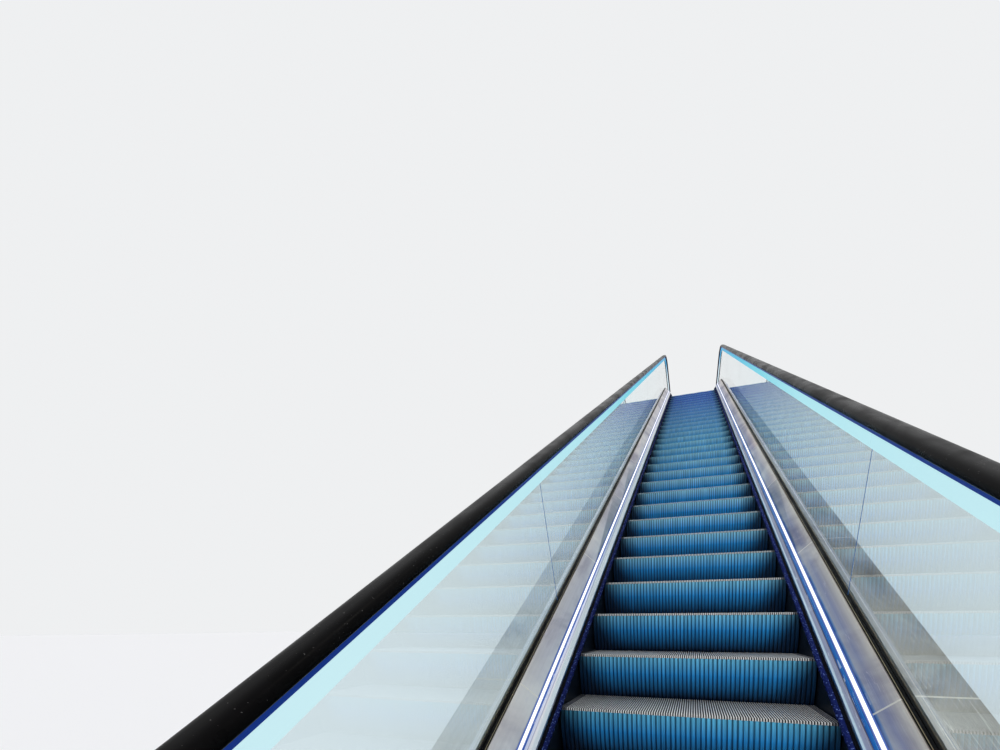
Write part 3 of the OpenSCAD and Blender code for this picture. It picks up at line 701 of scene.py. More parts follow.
@dataclass(frozen=True)
class RiserPaintAndShade(Finish):
    """Blue metallic riser paint with painted light and shade: painted light at the top, painted shade at
    the foot and towards both ends, painted rib highlights and groove shade, and a painted violet-blue cast
    on the highest steps.
    """

    metallic: float = 0.15
    shine: float = 0.3
    # Painted light at the top and painted shade at the foot, on low and high steps, and the painted cast of
    # the highest steps.
    top: Color = (0.17, 0.66, 0.95)
    high_top: Color = (0.38, 0.80, 0.98)
    foot: Color = (0.004, 0.02, 0.06)
    high_foot: Color = (0.014, 0.17, 0.46)
    far: Color = (0.36, 0.31, 0.82)
    ribs: int = FLIGHT.riser_ribs

    def lit_height_color(self, graph: Graph, down: Socket, climb: Socket) -> Socket:
        """The colour from the top of a riser to its foot, which changes up the flight: painted light at the
        top over the blue paint, and painted shade at the foot, both lighter on higher steps.

        Args:
            graph: the material's graph.
            down: 0 at the top of the riser and 1 at its foot.
            climb: how far up the flight the riser is.

        Returns:
            The colour socket.
        """
        # Painted shade at the foot and painted light at the top, both lighter on higher steps.
        foot = graph.mix(graph.span(climb, 0.22, 0.5), solid(self.foot), solid(self.high_foot))
        top = graph.mix(graph.span(climb, 0.14, 0.32), solid(self.top), solid(self.high_top))
        body = graph.mix(graph.span(down, 0.03, 0.42), top, solid(self.color))
        return graph.mix(graph.span(down, 0.38, 0.9), body, foot)

    def detail(self, graph: Graph, shader: bpy.types.Node) -> None:
        """Adds painted light and shade over the height and across, and painted highlights and shade on the
        ribs.

        Args:
            graph: the material's graph.
            shader: its Principled shader.
        """
        shader.inputs["Specular IOR Level"].default_value = self.shine
        across, down = graph.surface()
        climb = self.climb(graph)
        tone = self.lit_height_color(graph, down, climb)
        # Painted shade towards both ends of the riser, reaching further in lower down.
        aside = graph.math("ABSOLUTE", graph.math("SUBTRACT", across, 0.5))
        ends = graph.span(graph.math("ADD", aside, graph.math("MULTIPLY", down, 0.10)), 0.40, 0.505)
        tone = graph.mix(graph.math("MULTIPLY", ends, 0.92), tone, solid(self.foot))
        # Painted violet-blue cast of the light on the highest steps.
        tone = graph.mix(graph.span(climb, 0.55, 0.9), tone, solid(self.far), "MULTIPLY")
        streak = graph.noise(graph.place((220.0, 3.0, 3.0)), 1.0, 2.0)
        tone = graph.mix(1.0, tone, graph.span(streak, 0.35, 0.7, 0.85, 1.3), "MULTIPLY")
        # Painted highlight on each rib and painted shade in the grooves between them.
        rib = graph.math("FRACT", graph.math("MULTIPLY", across, self.ribs))
        relief = graph.ramp(rib, ((0.0, grey(0.24)), (0.14, grey(0.28)), (0.26, grey(1.0)),
                                  (0.38, grey(0.86)), (0.82, grey(0.72)), (0.98, grey(0.26))))
        graph.feed(shader.inputs["Base Color"], graph.mix(1.0, tone, relief, "MULTIPLY"))
        wear = Effect.SMUDGE_AND_SHEEN.use(graph, scale=4.0, low=0.45, high=0.75).outputs[0]
        graph.feed(shader.inputs["Roughness"], self.roughen(graph, wear, 0.18))


@dataclass(frozen=True)
class CleatMetal(Finish):
    """Cast cleats with worn bright tops over dull, much darker grooves, and on higher steps an optional
    painted blue-cyan highlight along the nosings.
    """

    metallic: float = 0.9
    groove_roughness: float = 0.6
    # Painted blue-cyan highlight along the nosings of the higher steps.
    far: Color | None = None

    def detail(self, graph: Graph, shader: bpy.types.Node) -> None:
        """Adds the worn tops, the darker grooves and the painted nosing highlight.

        Args:
            graph: the material's graph.
            shader: its Principled shader.
        """
        from_nosing, height = graph.surface()
        top = graph.span(height, 0.86, 0.99)
        cloud = graph.noise(graph.place((18.0, 18.0, 18.0)), 1.0, 4.0, 0.6)
        worn = graph.mix(cloud, self.shade(0.85), self.shade(1.25))
        # Painted blue-cyan highlight along the nosings, growing up the flight.
        if self.far:
            front = graph.span(from_nosing, 0.02, 0.004)
            high = graph.span(self.climb(graph), 0.2, 0.5)
            worn = graph.mix(graph.math("MULTIPLY", front, high), worn, solid(self.far))
        graph.feed(shader.inputs["Base Color"], graph.mix(top, self.shade(0.07), worn))
        rough = graph.span(top, 0.0, 1.0, self.groove_roughness, self.roughness)
        graph.feed(shader.inputs["Roughness"], rough)


@dataclass(frozen=True)
class Rubber(Finish):
    """Black rubber or plastic with a soft gloss, scuffs and specks."""

    speck: float = 0.4
    speck_color: Color = (0.35, 0.33, 0.32)
    shine: float = 0.5

    def detail(self, graph: Graph, shader: bpy.types.Node) -> None:
        """Adds scuffs and specks.

        Args:
            graph: the material's graph.
            shader: its Principled shader.
        """
        shader.inputs["Specular IOR Level"].default_value = self.shine
        smudge = Effect.SMUDGE_AND_SHEEN.use(graph, scale=5.0, low=0.4, high=0.75).outputs[0]
        dust = Effect.DUST_AND_SHEEN.use(graph, scale=170.0, threshold=0.735).outputs[0]
        tone = graph.mix(smudge, self.shade(0.8), self.shade(1.6))
        tone = graph.mix(graph.math("MULTIPLY", dust, self.speck), tone, solid(self.speck_color))
        graph.feed(shader.inputs["Base Color"], tone)
        rough = graph.span(smudge, 0.0, 1.0, self.roughness - 0.06, self.roughness + 0.14)
        graph.feed(shader.inputs["Roughness"], rough)


@dataclass(frozen=True)
class Bristle(Finish):
    """Dyed navy nylon bristle with violet and pale flecks of painted highlight."""

    shine: float = 0.1
    highlight_fleck: Color = (0.012, 0.022, 0.16)
    pale_highlight_fleck: Color = (0.16, 0.24, 0.60)

    def detail(self, graph: Graph, shader: bpy.types.Node) -> None:
        """Adds the flecks of painted highlight.

        Args:
            graph: the material's graph.
            shader: its Principled shader.
        """
        shader.inputs["Specular IOR Level"].default_value = self.shine
        # Violet and pale flecks of painted highlight, light caught by the bristles.
        highlight_fleck = Effect.DUST_AND_SHEEN.use(graph, scale=95.0, threshold=0.57).outputs[0]
        pale = Effect.DUST_AND_SHEEN.use(graph, scale=130.0, threshold=0.635).outputs[0]
        tone = graph.mix(highlight_fleck, solid(self.color), solid(self.highlight_fleck))
        graph.feed(shader.inputs["Base Color"], graph.mix(pale, tone, solid(self.pale_highlight_fleck)))


@dataclass(frozen=True)
class Luminous(Finish):
    """A glowing part: the lit diffusers of the lights, which can be tinted at their edges and given a
    painted change of colour up the flight, and parts that are no lamps, which glow as painted light.

    Middle and half are the distance of a strip's centre line from the middle of the flight and
    half its width. Along holds colours at shares of the reach, from the lower end.
    """

    edge: Color = (0.1, 0.3, 1.0)
    middle: float = 0.0
    half: float = 0.0
    strength: float = 1.0
    unlit: float = 0.1
    shine: float = 0.05
    along: Stops = ()
    reach: float = 20.0

    def detail(self, graph: Graph, shader: bpy.types.Node) -> None:
        """Adds the glow, which on parts that are no lamps is painted light.

        Args:
            graph: the material's graph.
            shader: its Principled shader.
        """
        shader.inputs["Emission Strength"].default_value = self.strength
        shader.inputs["Specular IOR Level"].default_value = self.shine
        shader.inputs["Base Color"].default_value = self.shade(self.unlit)
        glow = solid(self.color)
        if self.along:
            glow = graph.ramp(graph.span(graph.object_axis("Y"), 0.0, self.reach), self.along)
        if self.half:
            side = graph.math("ABSOLUTE", graph.object_axis("X"))
            off_centre = graph.math("ABSOLUTE", graph.math("SUBTRACT", side, self.middle))
            out = graph.math("DIVIDE", off_centre, self.half)
            glow = graph.mix(graph.span(out, 0.54, 0.66), glow, solid(self.edge))
        graph.feed(shader.inputs["Emission Color"], glow)


@dataclass(frozen=True)
class ClearGlass(Finish):
    """Toughened glass with a slight sea-green cast."""

    roughness: float = 0.0
    refraction: float = 1.5

    def detail(self, graph: Graph, shader: bpy.types.Node) -> None:
        """Makes the shader clear.

        Args:
            graph: the material's graph.
            shader: its Principled shader.
        """
        shader.inputs["Transmission Weight"].default_value = 1.0
        shader.inputs["IOR"].default_value = self.refraction


# Joints of the decks: distance of the first from the foot of the slope, and length of a panel

DECK_JOINTS = (1.43, 1.33)


# Colours of the lanes of decks and trims, by distance from the middle of the flight. Over the metal's own
# tone they paint light: the blue glow of the skirt lights beside them, a highlight and shaded facets across
# the trims, reflections on the decks, and a paler left side than right.

DECK_LIT_LANES = ((0.546, (0.01, 0.04, 0.20)), (0.549, (0.02, 0.11, 0.42)), (0.5525, (0.14, 0.27, 0.55)),
              (0.556, (0.42, 0.42, 0.52)), (0.572, (0.30, 0.31, 0.47)), (0.590, (0.46, 0.42, 0.46)),
              (0.604, (0.66, 0.60, 0.56)), (0.612, (0.58, 0.48, 0.40)))
LEFT_DECK_LIT_LANES = ((0.546, (0.01, 0.04, 0.20)), (0.548, (0.02, 0.11, 0.42)), (0.5495, (0.62, 0.61, 0.68)),
                   (0.580, (0.60, 0.57, 0.62)), (0.604, (0.62, 0.58, 0.60)), (0.612, (0.70, 0.62, 0.58)))
OUTER_LIT_LANES = ((0.648, (0.46, 0.435, 0.42)), (0.80, (0.40, 0.37, 0.345)))
LEFT_OUTER_LIT_LANES = ((0.648, (0.84, 0.85, 0.87)), (0.80, (0.80, 0.81, 0.83)))
TRIM_LIT_LANES = ((0.501, (0.70, 0.84, 1.00)), (0.5055, (0.80, 0.90, 1.00)), (0.5085, (0.36, 0.37, 0.54)),
              (0.5175, (0.42, 0.40, 0.54)), (0.5195, (0.10, 0.08, 0.10)), (0.5225, (0.015, 0.12, 0.46)),
              (0.5290, (0.04, 0.24, 0.70)), (0.5310, (0.01, 0.06, 0.30)))
LEFT_TRIM_LIT_LANES = ((0.501, (0.90, 0.92, 0.96)), (0.518, (0.88, 0.88, 0.92)), (0.5205, (0.46, 0.48, 0.66)),
                   (0.523, (0.70, 0.74, 0.90)), (0.5275, (0.66, 0.72, 0.92)), (0.5295, (0.03, 0.14, 0.55)),
                   (0.5310, (0.01, 0.06, 0.30)))


# Colours of the luminous strips, by share of the way up: the shift from pale cyan to deep blue up the
# flight is a painted change of light

RAIL_GLOW = ((0.05, (0.56, 0.82, 0.88)), (0.16, (0.56, 0.81, 0.86)), (0.28, (0.38, 0.72, 0.79)),
             (0.38, (0.13, 0.56, 0.68)), (0.50, (0.03, 0.40, 0.60)), (0.74, (0.012, 0.30, 0.56)),
             (0.775, (0.70, 0.84, 0.90)))


class Kit(Enum):
    """The finishes of the escalator."""

    # Decks and trims: lanes, glare and dark patches hold painted highlights, reflections, shaded facets and
    # the skirt lights' blue glow.
    DECK = Brushed("deck_steel", (0.40, 0.38, 0.45), 0.34, stain_and_reflection=0.5, patch=(0.14, 0.14, 0.25), painted_glare=0.5,
                   joints=DECK_JOINTS, lanes=DECK_LIT_LANES, left_lanes=LEFT_DECK_LIT_LANES)
    OUTER_DECK = Brushed("outer_deck_steel", (0.60, 0.575, 0.55), 0.33, stain_and_reflection=0.65, left_stain_and_reflection=0.3,
                         patch=(0.13, 0.11, 0.095), painted_glare=0.45, joints=DECK_JOINTS, lanes=OUTER_LIT_LANES,
                         left_lanes=LEFT_OUTER_LIT_LANES)
    TRIM = Brushed("trim_metal", (0.70, 0.72, 0.80), 0.3, stain_and_reflection=0.0, grain=1.7, lanes=TRIM_LIT_LANES,
                   left_lanes=LEFT_TRIM_LIT_LANES)
    SKIRT = Painted("skirt_coat", (0.006, 0.010, 0.018), 0.35, shine=0.25)
    # Riser paint with painted light at the top and painted shade at the foot and ends.
    RISER = RiserPaintAndShade("riser_paint", (0.026, 0.37, 0.92), 0.42)
    # far paints a blue-cyan highlight on the nosings of the higher steps.
    TREAD = CleatMetal("tread_metal", (0.74, 0.72, 0.71), 0.42, metallic=0.6, far=(0.16, 0.46, 0.64))
    STRIP = CleatMetal("edge_strip", (0.20, 0.20, 0.22), 0.5, metallic=0.4)
    COMB = CleatMetal("comb_metal", (0.66, 0.64, 0.60), 0.35)
    COVER = Ribbed("cover_steel", (0.58, 0.58, 0.585), 0.32)
    # The violet and pale flecks of the bristle are painted highlights.
    BRISTLE = Bristle("brush_fibre", (0.008, 0.017, 0.115), 0.7)
    BRUSH_BASE = Painted("brush_base", (0.003, 0.003, 0.006), 0.6, shine=0.1)
    SKIRT_LIGHT = Luminous("skirt_light", (1.0, 1.0, 1.0), 0.4, edge=(0.012, 0.07, 0.34), middle=0.5387,
                           half=0.0073, strength=1.2)
    # The rail lights are lamps; their change of colour up the flight is painted.
    RAIL_LIGHT = Luminous("rail_light", (0.60, 0.80, 0.85), 0.4, along=RAIL_GLOW)
    GASKET = Rubber("gasket_rubber", (0.002, 0.002, 0.003), 0.55, speck=0.1, shine=0.1)
    GOLD_EDGE = Painted("channel_edge", (0.45, 0.36, 0.22), 0.3, metallic=1.0)
    BELT = Rubber("belt_rubber", (0.0035, 0.0033, 0.0035), 0.3, speck=0.25, shine=0.02)
    # The handrail guides are no lamps; their blue glow is painted light.
    GUIDE = Luminous("guide_metal", (0.012, 0.045, 0.28), 0.3, strength=0.6, unlit=0.3)
    GLASS = ClearGlass("clear_glass", (0.80, 0.93, 0.955))
    # The glass seals are no lamps; their blue glow is painted light.
    SEAL = Luminous("glass_seal_painted_glow", (0.02, 0.20, 0.62), 0.3, strength=0.7, unlit=0.4)
    SUPPORT = Painted("support_steel", (0.30, 0.31, 0.33), 0.5, metallic=0.8)
    BODY = Painted("painted_steel", (0.09, 0.095, 0.105), 0.55)
    TRACK = Brushed("track_steel", (0.45, 0.45, 0.46), 0.4, stain_and_reflection=0.5)
    CARRIAGE = Painted("carriage_metal", (0.40, 0.41, 0.43), 0.5, metallic=0.9)
    CLADDING = Painted("cladding_paint", (0.84, 0.83, 0.815), 0.42)

    def build(self) -> bpy.types.Material:
        """The finish as a material."""
        return self.value.build()


# Modelling helpers

def as_object(bm: bmesh.types.BMesh, name: str, kit: Kit, smooth: float = 35.0) -> bpy.types.Object:
    """Turns a bmesh into an object with one finish, riding on the body.

    Args:
        bm: the mesh data, in the row frame; it is freed.
        name: the object's name.
        kit: its finish.
        smooth: edges bent less than this many degrees are shaded smooth.

    Returns:
        The linked object.
    """
    mesh = bpy.data.meshes.new(name)
    for face in bm.faces:
        face.smooth = True
    bm.to_mesh(mesh)
    bm.free()
    mesh.set_sharp_from_angle(angle=math.radians(smooth))
    mesh.materials.append(kit.build())
    made = bpy.data.objects.new(name, mesh)
    bpy.context.collection.objects.link(made)
    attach(made, BODY)
    return made


def boxed(bm: bmesh.types.BMesh, low: tuple, high: tuple) -> list[bmesh.types.BMVert]:
    """Adds a box between two corners.

    Args:
        bm: the mesh to add to.
        low: lowest corner.
        high: highest corner.

    Returns:
        Its vertices.
    """
    size = [end - start for start, end in zip(low, high)]
    centre = [(end + start) / 2 for start, end in zip(low, high)]
    matrix = Matrix.Translation(centre) @ Matrix.Diagonal((*size, 1.0))
    return bmesh.ops.create_cube(bm, size=1.0, matrix=matrix)["verts"]


def only(parts: list, kind: type) -> list:
    """The parts of a mesh that are of one kind."""
    return [part for part in parts if isinstance(part, kind)]


def edges_where(bm: bmesh.types.BMesh, rule: Callable[[Vector], bool]) -> list[bmesh.types.BMEdge]:
    """The edges of a mesh that have both ends at places that a rule picks."""
    return [edge for edge in bm.edges if all(rule(vert.co) for vert in edge.verts)]


def rounded(bm: bmesh.types.BMesh, edges: list[bmesh.types.BMEdge], width: float,
            segments: int = 2) -> None:
    """Bevels some edges of a mesh.

    Args:
        bm: the mesh.
        edges: the edges.
        width: width of the bevel, in metres.
        segments: number of faces over each edge.
    """
    bmesh.ops.bevel(bm, geom=edges, offset=width, segments=segments, profile=0.5, affect="EDGES",
                    material=-1)


def lay_surface(bm: bmesh.types.BMesh, rule: Callable[[Vector], tuple[float, float]]) -> None:
    """Lays the surface map from a rule on each corner's place.

    Args:
        bm: the mesh.
        rule: a function of a place that returns both coordinates of the map.
    """
    layer = bm.loops.layers.uv.get(SURFACE_MAP) or bm.loops.layers.uv.new(SURFACE_MAP)
    for face in bm.faces:
        for loop in face.loops:
            loop[layer].uv = rule(loop.vert.co)


def repeated(bm: bmesh.types.BMesh, pattern: bpy.types.Mesh, places: list[Matrix]) -> None:
    """Adds a copy of a mesh at each place.

    Args:
        bm: the mesh to add to, from which nothing has been deleted yet.
        pattern: the mesh to repeat.
        places: one matrix for each copy.
    """
    for place in places:
        start = len(bm.verts)
        bm.from_mesh(pattern)
        bm.verts.ensure_lookup_table()
        bmesh.ops.transform(bm, matrix=place, verts=bm.verts[start:])


def as_pattern(bm: bmesh.types.BMesh) -> bpy.types.Mesh:
    """Turns a bmesh into a plain mesh that can be repeated.

    Args:
        bm: the mesh data; it is freed.

    Returns:
        The mesh.
    """
    mesh = bpy.data.meshes.new("pattern")
    bm.to_mesh(mesh)
    bm.free()
    return mesh


class Sweep:
    """Carries a cross-section along the flight by extruding and spinning it."""

    def __init__(self, points: list[tuple[float, float]], run: float) -> None:
        """Sets the cross-section up at its start.

        Args:
            points: [across, up] of each corner, in order round the section.
            run: level distance from the section to the start of the lower bend.
        """
        self.bm = bmesh.new()
        start = FLIGHT.seated() @ Matrix.Translation((0.0, -run, 0.0))
        verts = [self.bm.verts.new(start @ Vector((x, 0.0, z))) for x, z in points]
        self.front = [self.bm.edges.new((verts[i - 1], verts[i])) for i in range(len(verts))]
        self.first = list(self.front)

    def run(self, vector: Vector) -> None:
        """Extrudes the section in a straight line.

        Args:
            vector: way and length of the line.
        """
        made = bmesh.ops.extrude_edge_only(self.bm, edges=self.front)["geom"]
        self.front = only(made, bmesh.types.BMEdge)
        bmesh.ops.translate(self.bm, vec=vector, verts=only(made, bmesh.types.BMVert))

    def turn(self, centre: Vector, degrees: float, steps: int) -> None:
        """Spins the section about a level axis across the flight.

        Args:
            centre: a point of the axis.
            degrees: the angle, positive where the path turns upwards.
            steps: number of cuts.
        """
        verts = list({vert for edge in self.front for vert in edge.verts})
        made = bmesh.ops.spin(self.bm, geom=verts + self.front, cent=centre, axis=(1.0, 0.0, 0.0),
                              angle=math.radians(degrees), steps=steps, use_duplicate=False)["geom_last"]
        self.front = only(made, bmesh.types.BMEdge)

    def finish(self, closed: bool = False) -> bmesh.types.BMesh:
        """Merges or caps the ends and returns the mesh.

        Args:
            closed: whether the last section meets the first.

        Returns:
            The mesh, with its faces pointing outwards.
        """
        if closed:
            bmesh.ops.remove_doubles(self.bm, verts=self.bm.verts, dist=1e-5)
        else:
            bmesh.ops.contextual_create(self.bm, geom=self.first)
            bmesh.ops.contextual_create(self.bm, geom=self.front)
        bmesh.ops.recalc_face_normals(self.bm, faces=self.bm.faces)
        return self.bm


@dataclass
class Route:
    """Takes a section along the top of the flight, and back inside the base."""

    bend_steps: int = 10
    newel_steps: int = 24

    def over(self, sweep: Sweep, lower: float, upper: float) -> None:
        """Carries a section up the flight.

        Args:
            sweep: the section, at its start.
            lower: level run before the lower bend.
            upper: level run after the upper bend.
        """
        slope = math.degrees(FLIGHT.slope)
        sweep.run(Vector((0.0, lower, 0.0)))
        sweep.turn(FLIGHT.lower_centre, slope, self.bend_steps)
        sweep.run(FLIGHT.uphill * FLIGHT.slope_run)
        sweep.turn(FLIGHT.upper_centre, -slope, self.bend_steps)
        sweep.run(Vector((0.0, upper, 0.0)))

    def back(self, sweep: Sweep) -> None:
        """Carries a section from the upper newel back to the lower one, under the deck.

        Args:
            sweep: the section, at the foot of the upper newel.
        """
        slope = math.degrees(FLIGHT.slope)
        level = Vector((0.0, -FLIGHT.newel_reach, 0.0))
        sweep.run(level)
        sweep.turn(FLIGHT.upper_centre, slope, self.bend_steps)
        sweep.run(-FLIGHT.uphill * FLIGHT.slope_run)
        sweep.turn(FLIGHT.lower_centre, -slope, self.bend_steps)
        sweep.run(level)

    def strip(self, points: list[tuple[float, float]], run: float) -> bmesh.types.BMesh:
        """Sweeps a section up the flight, with the same level run at both ends.

        Args:
            points: [across, up] of each corner, in order round the section.
            run: the level run.

        Returns:
            The capped strip.
        """
        sweep = Sweep(points, run)
        self.over(sweep, run, run)
        return sweep.finish()

    def newel(self, sweep: Sweep, upper: bool, degrees: float) -> None:
        """Spins a section round one newel.

        Args:
            sweep: the section, at the top or foot of the newel.
            upper: whether it is the upper newel.
            degrees: the angle, negative forwards.
        """
        level = FLIGHT.on_upper_level() if upper else FLIGHT.seated()
        reach = FLIGHT.newel_reach if upper else -FLIGHT.newel_reach
        steps = max(1, round(self.newel_steps * abs(degrees) / 180.0))
        sweep.turn(level @ Vector((0.0, reach, FLIGHT.newel_height)), degrees, steps)


def mirrored(bm: bmesh.types.BMesh) -> bmesh.types.BMesh:
    """Turns a mesh into its left-hand counterpart.

    Args:
        bm: the mesh of the right-hand side.

    Returns:
        The same mesh, turned.
    """
    bmesh.ops.scale(bm, vec=(-1.0, 1.0, 1.0), verts=bm.verts)
    bmesh.ops.recalc_face_normals(bm, faces=bm.faces)
    return bm


def both_sides(bm: bmesh.types.BMesh) -> bmesh.types.BMesh:
    """Joins a mesh with its left-hand counterpart.

    Args:
        bm: the mesh of the right-hand side; it is freed.

    Returns:
        A mesh of both sides.
    """
    half = as_pattern(bm)
    whole = bmesh.new()
    repeated(whole, half, [Matrix.Identity(4), Matrix.Diagonal((-1.0, 1.0, 1.0, 1.0))])
    bmesh.ops.recalc_face_normals(whole, faces=whole.faces)
    return whole


# Steps

@dataclass
class StepBand:
    """The row of steps: cleated treads, ribbed curved risers and dark end strips.

    Length is from the nosing to the rear edge of a tread, about which its riser is curved.
    Riser_top and drop are how far below the nosing a riser starts and ends, and rib_shares are
    where a rib starts, reaches its full depth and leaves it, as shares of the pitch.
    """

    cleats: int = 110
    strip_cleats: int = 3
    ribs: int = FLIGHT.riser_ribs
    length: float = 0.394
    groove: float = 0.011
    base: float = 0.005
    cleat_top: float = 0.0042
    cleat_root: float = 0.0050
    cleat_round: float = 0.0005
    nose: float = 0.003
    base_start: float = 0.0095
    riser_top: float = 0.0115
    rib_depth: float = 0.005
    rib_shares: tuple[float, ...] = (0.14, 0.3, 0.84)
    riser_wall: float = 0.004
    drop: float = 0.214
    arc_steps: int = 7
    lower_count: int = 7
    slope_count: int = 31

    @property
    def cleat_pitch(self) -> float:
        """Distance from one cleat to the next."""
        return 2 * FLIGHT.half_step / self.cleats

    @property
    def rib_pitch(self) -> float:
        """Distance from one rib of a riser to the next."""
        return 2 * FLIGHT.half_step / self.ribs

    @property
    def rear_edge(self) -> Vector:
        """The middle of the rear edge of a tread, seen from its nosing."""
        return Vector((0.0, self.length, 0.0))

    def cleat(self) -> bpy.types.Mesh:
        """Models one cleat, open underneath.

        Its surface map holds the distance from the nosing and the height, and its rounded nose
        counts as the very front of its worn top.

        Returns:
            The cleat, with its nosing at the origin.
        """
        bm = bmesh.new()
        half = self.cleat_top / 2
        verts = boxed(bm, (-half, 0.0, -self.groove), (half, self.length, 0.0))
        root = [vert for vert in verts if vert.co.z < -self.groove / 2]
        bmesh.ops.scale(bm, vec=(self.cleat_root / self.cleat_top, 1.0, 1.0), verts=root)
        under = [face for face in bm.faces if all(vert in root for vert in face.verts)]
        bmesh.ops.delete(bm, geom=under, context="FACES_ONLY")
        rounded(bm, edges_where(bm, lambda co: co.y < 1e-4 and co.z > -1e-4), self.nose)
        lengthwise = [edge for edge in edges_where(bm, lambda co: co.z > -1e-5)
                      if abs(edge.verts[0].co.x - edge.verts[1].co.x) < 1e-6]
        rounded(bm, lengthwise, self.cleat_round, 1)
        lay_surface(bm, lambda co: (co.y, 1.0 + co.z / (self.groove + self.base)))
        layer = bm.loops.layers.uv[SURFACE_MAP]
        for loop in [loop for face in bm.faces if face.normal.y < -0.3 for loop in face.loops]:
            loop[layer].uv = (0.0, 1.0)
        return as_pattern(bm)

    def cleated(self, first: int, last: int) -> bmesh.types.BMesh:
        """Models a cleated plate that spans some of the cleats.

        Args:
            first: index of its first cleat.
            last: index after its last cleat.

        Returns:
            The plate, with its nosing at the origin.
        """
        side, underside = FLIGHT.half_step, -self.groove - self.base
        plate = bmesh.new()
        boxed(plate, (first * self.cleat_pitch - side, self.base_start, underside),
              (last * self.cleat_pitch - side, self.length, -self.groove))
        lay_surface(plate, lambda co: (co.y, 0.0))
        repeated(plate, self.cleat(), [Matrix.Translation(((i + 0.5) * self.cleat_pitch - side, 0.0, 0.0))
                                       for i in range(first, last)])
        return plate

    def rib(self) -> bpy.types.Mesh:
        """Models one rib of a riser, as a section spun about the rear edge of its tread.

        Returns:
            The rib at the left end, with its nosing at the origin.
        """
        bm = bmesh.new()
        start, end = math.asin(self.riser_top / self.length), math.asin(self.drop / self.length)
        groove, rise, fall = self.rib_shares
        corners = [(0.0, self.rib_depth), (groove, self.rib_depth), (rise, 0.0), (fall, 0.0),
                   (1.0, self.rib_depth)]
        verts = [bm.verts.new((share * self.rib_pitch - FLIGHT.half_step, depth, 0.0))
                 for share, depth in corners]
        edges = [bm.edges.new(pair) for pair in zip(verts, verts[1:])]
        bmesh.ops.rotate(bm, cent=self.rear_edge, matrix=Matrix.Rotation(start, 3, "X"), verts=verts)
        bmesh.ops.spin(bm, geom=verts + edges, cent=self.rear_edge, axis=(1.0, 0.0, 0.0),
                       angle=end - start, steps=self.arc_steps, use_duplicate=False)
        return as_pattern(bm)

    def riser(self) -> bmesh.types.BMesh:
        """Models one riser: a row of ribs, with a wall behind them.

        Returns:
            The riser, with its nosing at the origin.
        """
        whole = bmesh.new()
        repeated(whole, self.rib(), [Matrix.Translation((i * self.rib_pitch, 0.0, 0.0))
                                     for i in range(self.ribs)])
        bmesh.ops.remove_doubles(whole, verts=whole.verts, dist=1e-6)
        bmesh.ops.recalc_face_normals(whole, faces=whole.faces)
        if sum(face.normal.y * face.calc_area() for face in whole.faces) > 0:
            bmesh.ops.reverse_faces(whole, faces=whole.faces)
        rim = [edge for edge in whole.edges if edge.is_boundary]
        made = bmesh.ops.extrude_edge_only(whole, edges=rim)["geom"]
        for vert in only(made, bmesh.types.BMVert):
            away = self.rear_edge - Vector((0.0, vert.co.y, vert.co.z))
            vert.co += away.normalized() * self.riser_wall
        lay_surface(whole, lambda co: (co.x + FLIGHT.half_step, -co.z / self.drop))
        return whole

    def place(self, name: str, pattern: bpy.types.Mesh, chosen: list[Vector], kit: Kit,
              slot: str, nodes: tuple[str, ...]) -> None:
        """Repeats a pattern at some of the steps and puts it in place of its nodes.

        Args:
            name: the piece's name.
            pattern: the mesh to repeat.
            chosen: the nosings of its steps.
            kit: its finish.
            slot: the record's material slot; not used.
            nodes: the nodes that it replaces.
        """
        bm = bmesh.new()
        repeated(bm, pattern, [Matrix.Translation(place) for place in chosen])
        piece = as_object(bm, name, kit)
        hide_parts(*nodes)
        LOG.info("%s: %d faces", name, len(piece.data.polygons))

    def build(self) -> None:
        """Models and places every step."""
        steps = FLIGHT.steps()
        above = self.lower_count + self.slope_count
        groups = {"lower": steps[:self.lower_count], "slope": steps[self.lower_count:above],
                  "upper": steps[above:]}
        last = self.cleats - self.strip_cleats
        tread = as_pattern(self.cleated(self.strip_cleats, last))
        strips = self.cleated(0, self.strip_cleats)
        strips.from_mesh(as_pattern(self.cleated(last, self.cleats)))
        riser = as_pattern(self.riser())
        for key, chosen in groups.items():
            self.place(f"cleated_treads_{key}", tread, chosen, Kit.TREAD, "tread_metal", (f"treads_{key}",))
            self.place(f"ribbed_risers_{key}", riser, chosen, Kit.RISER, "riser_paint", (f"risers_{key}",))
        self.place("tread_end_strips", as_pattern(strips), steps, Kit.STRIP, "edge_strip",
                   ("step_edge_strips",))


# Landings

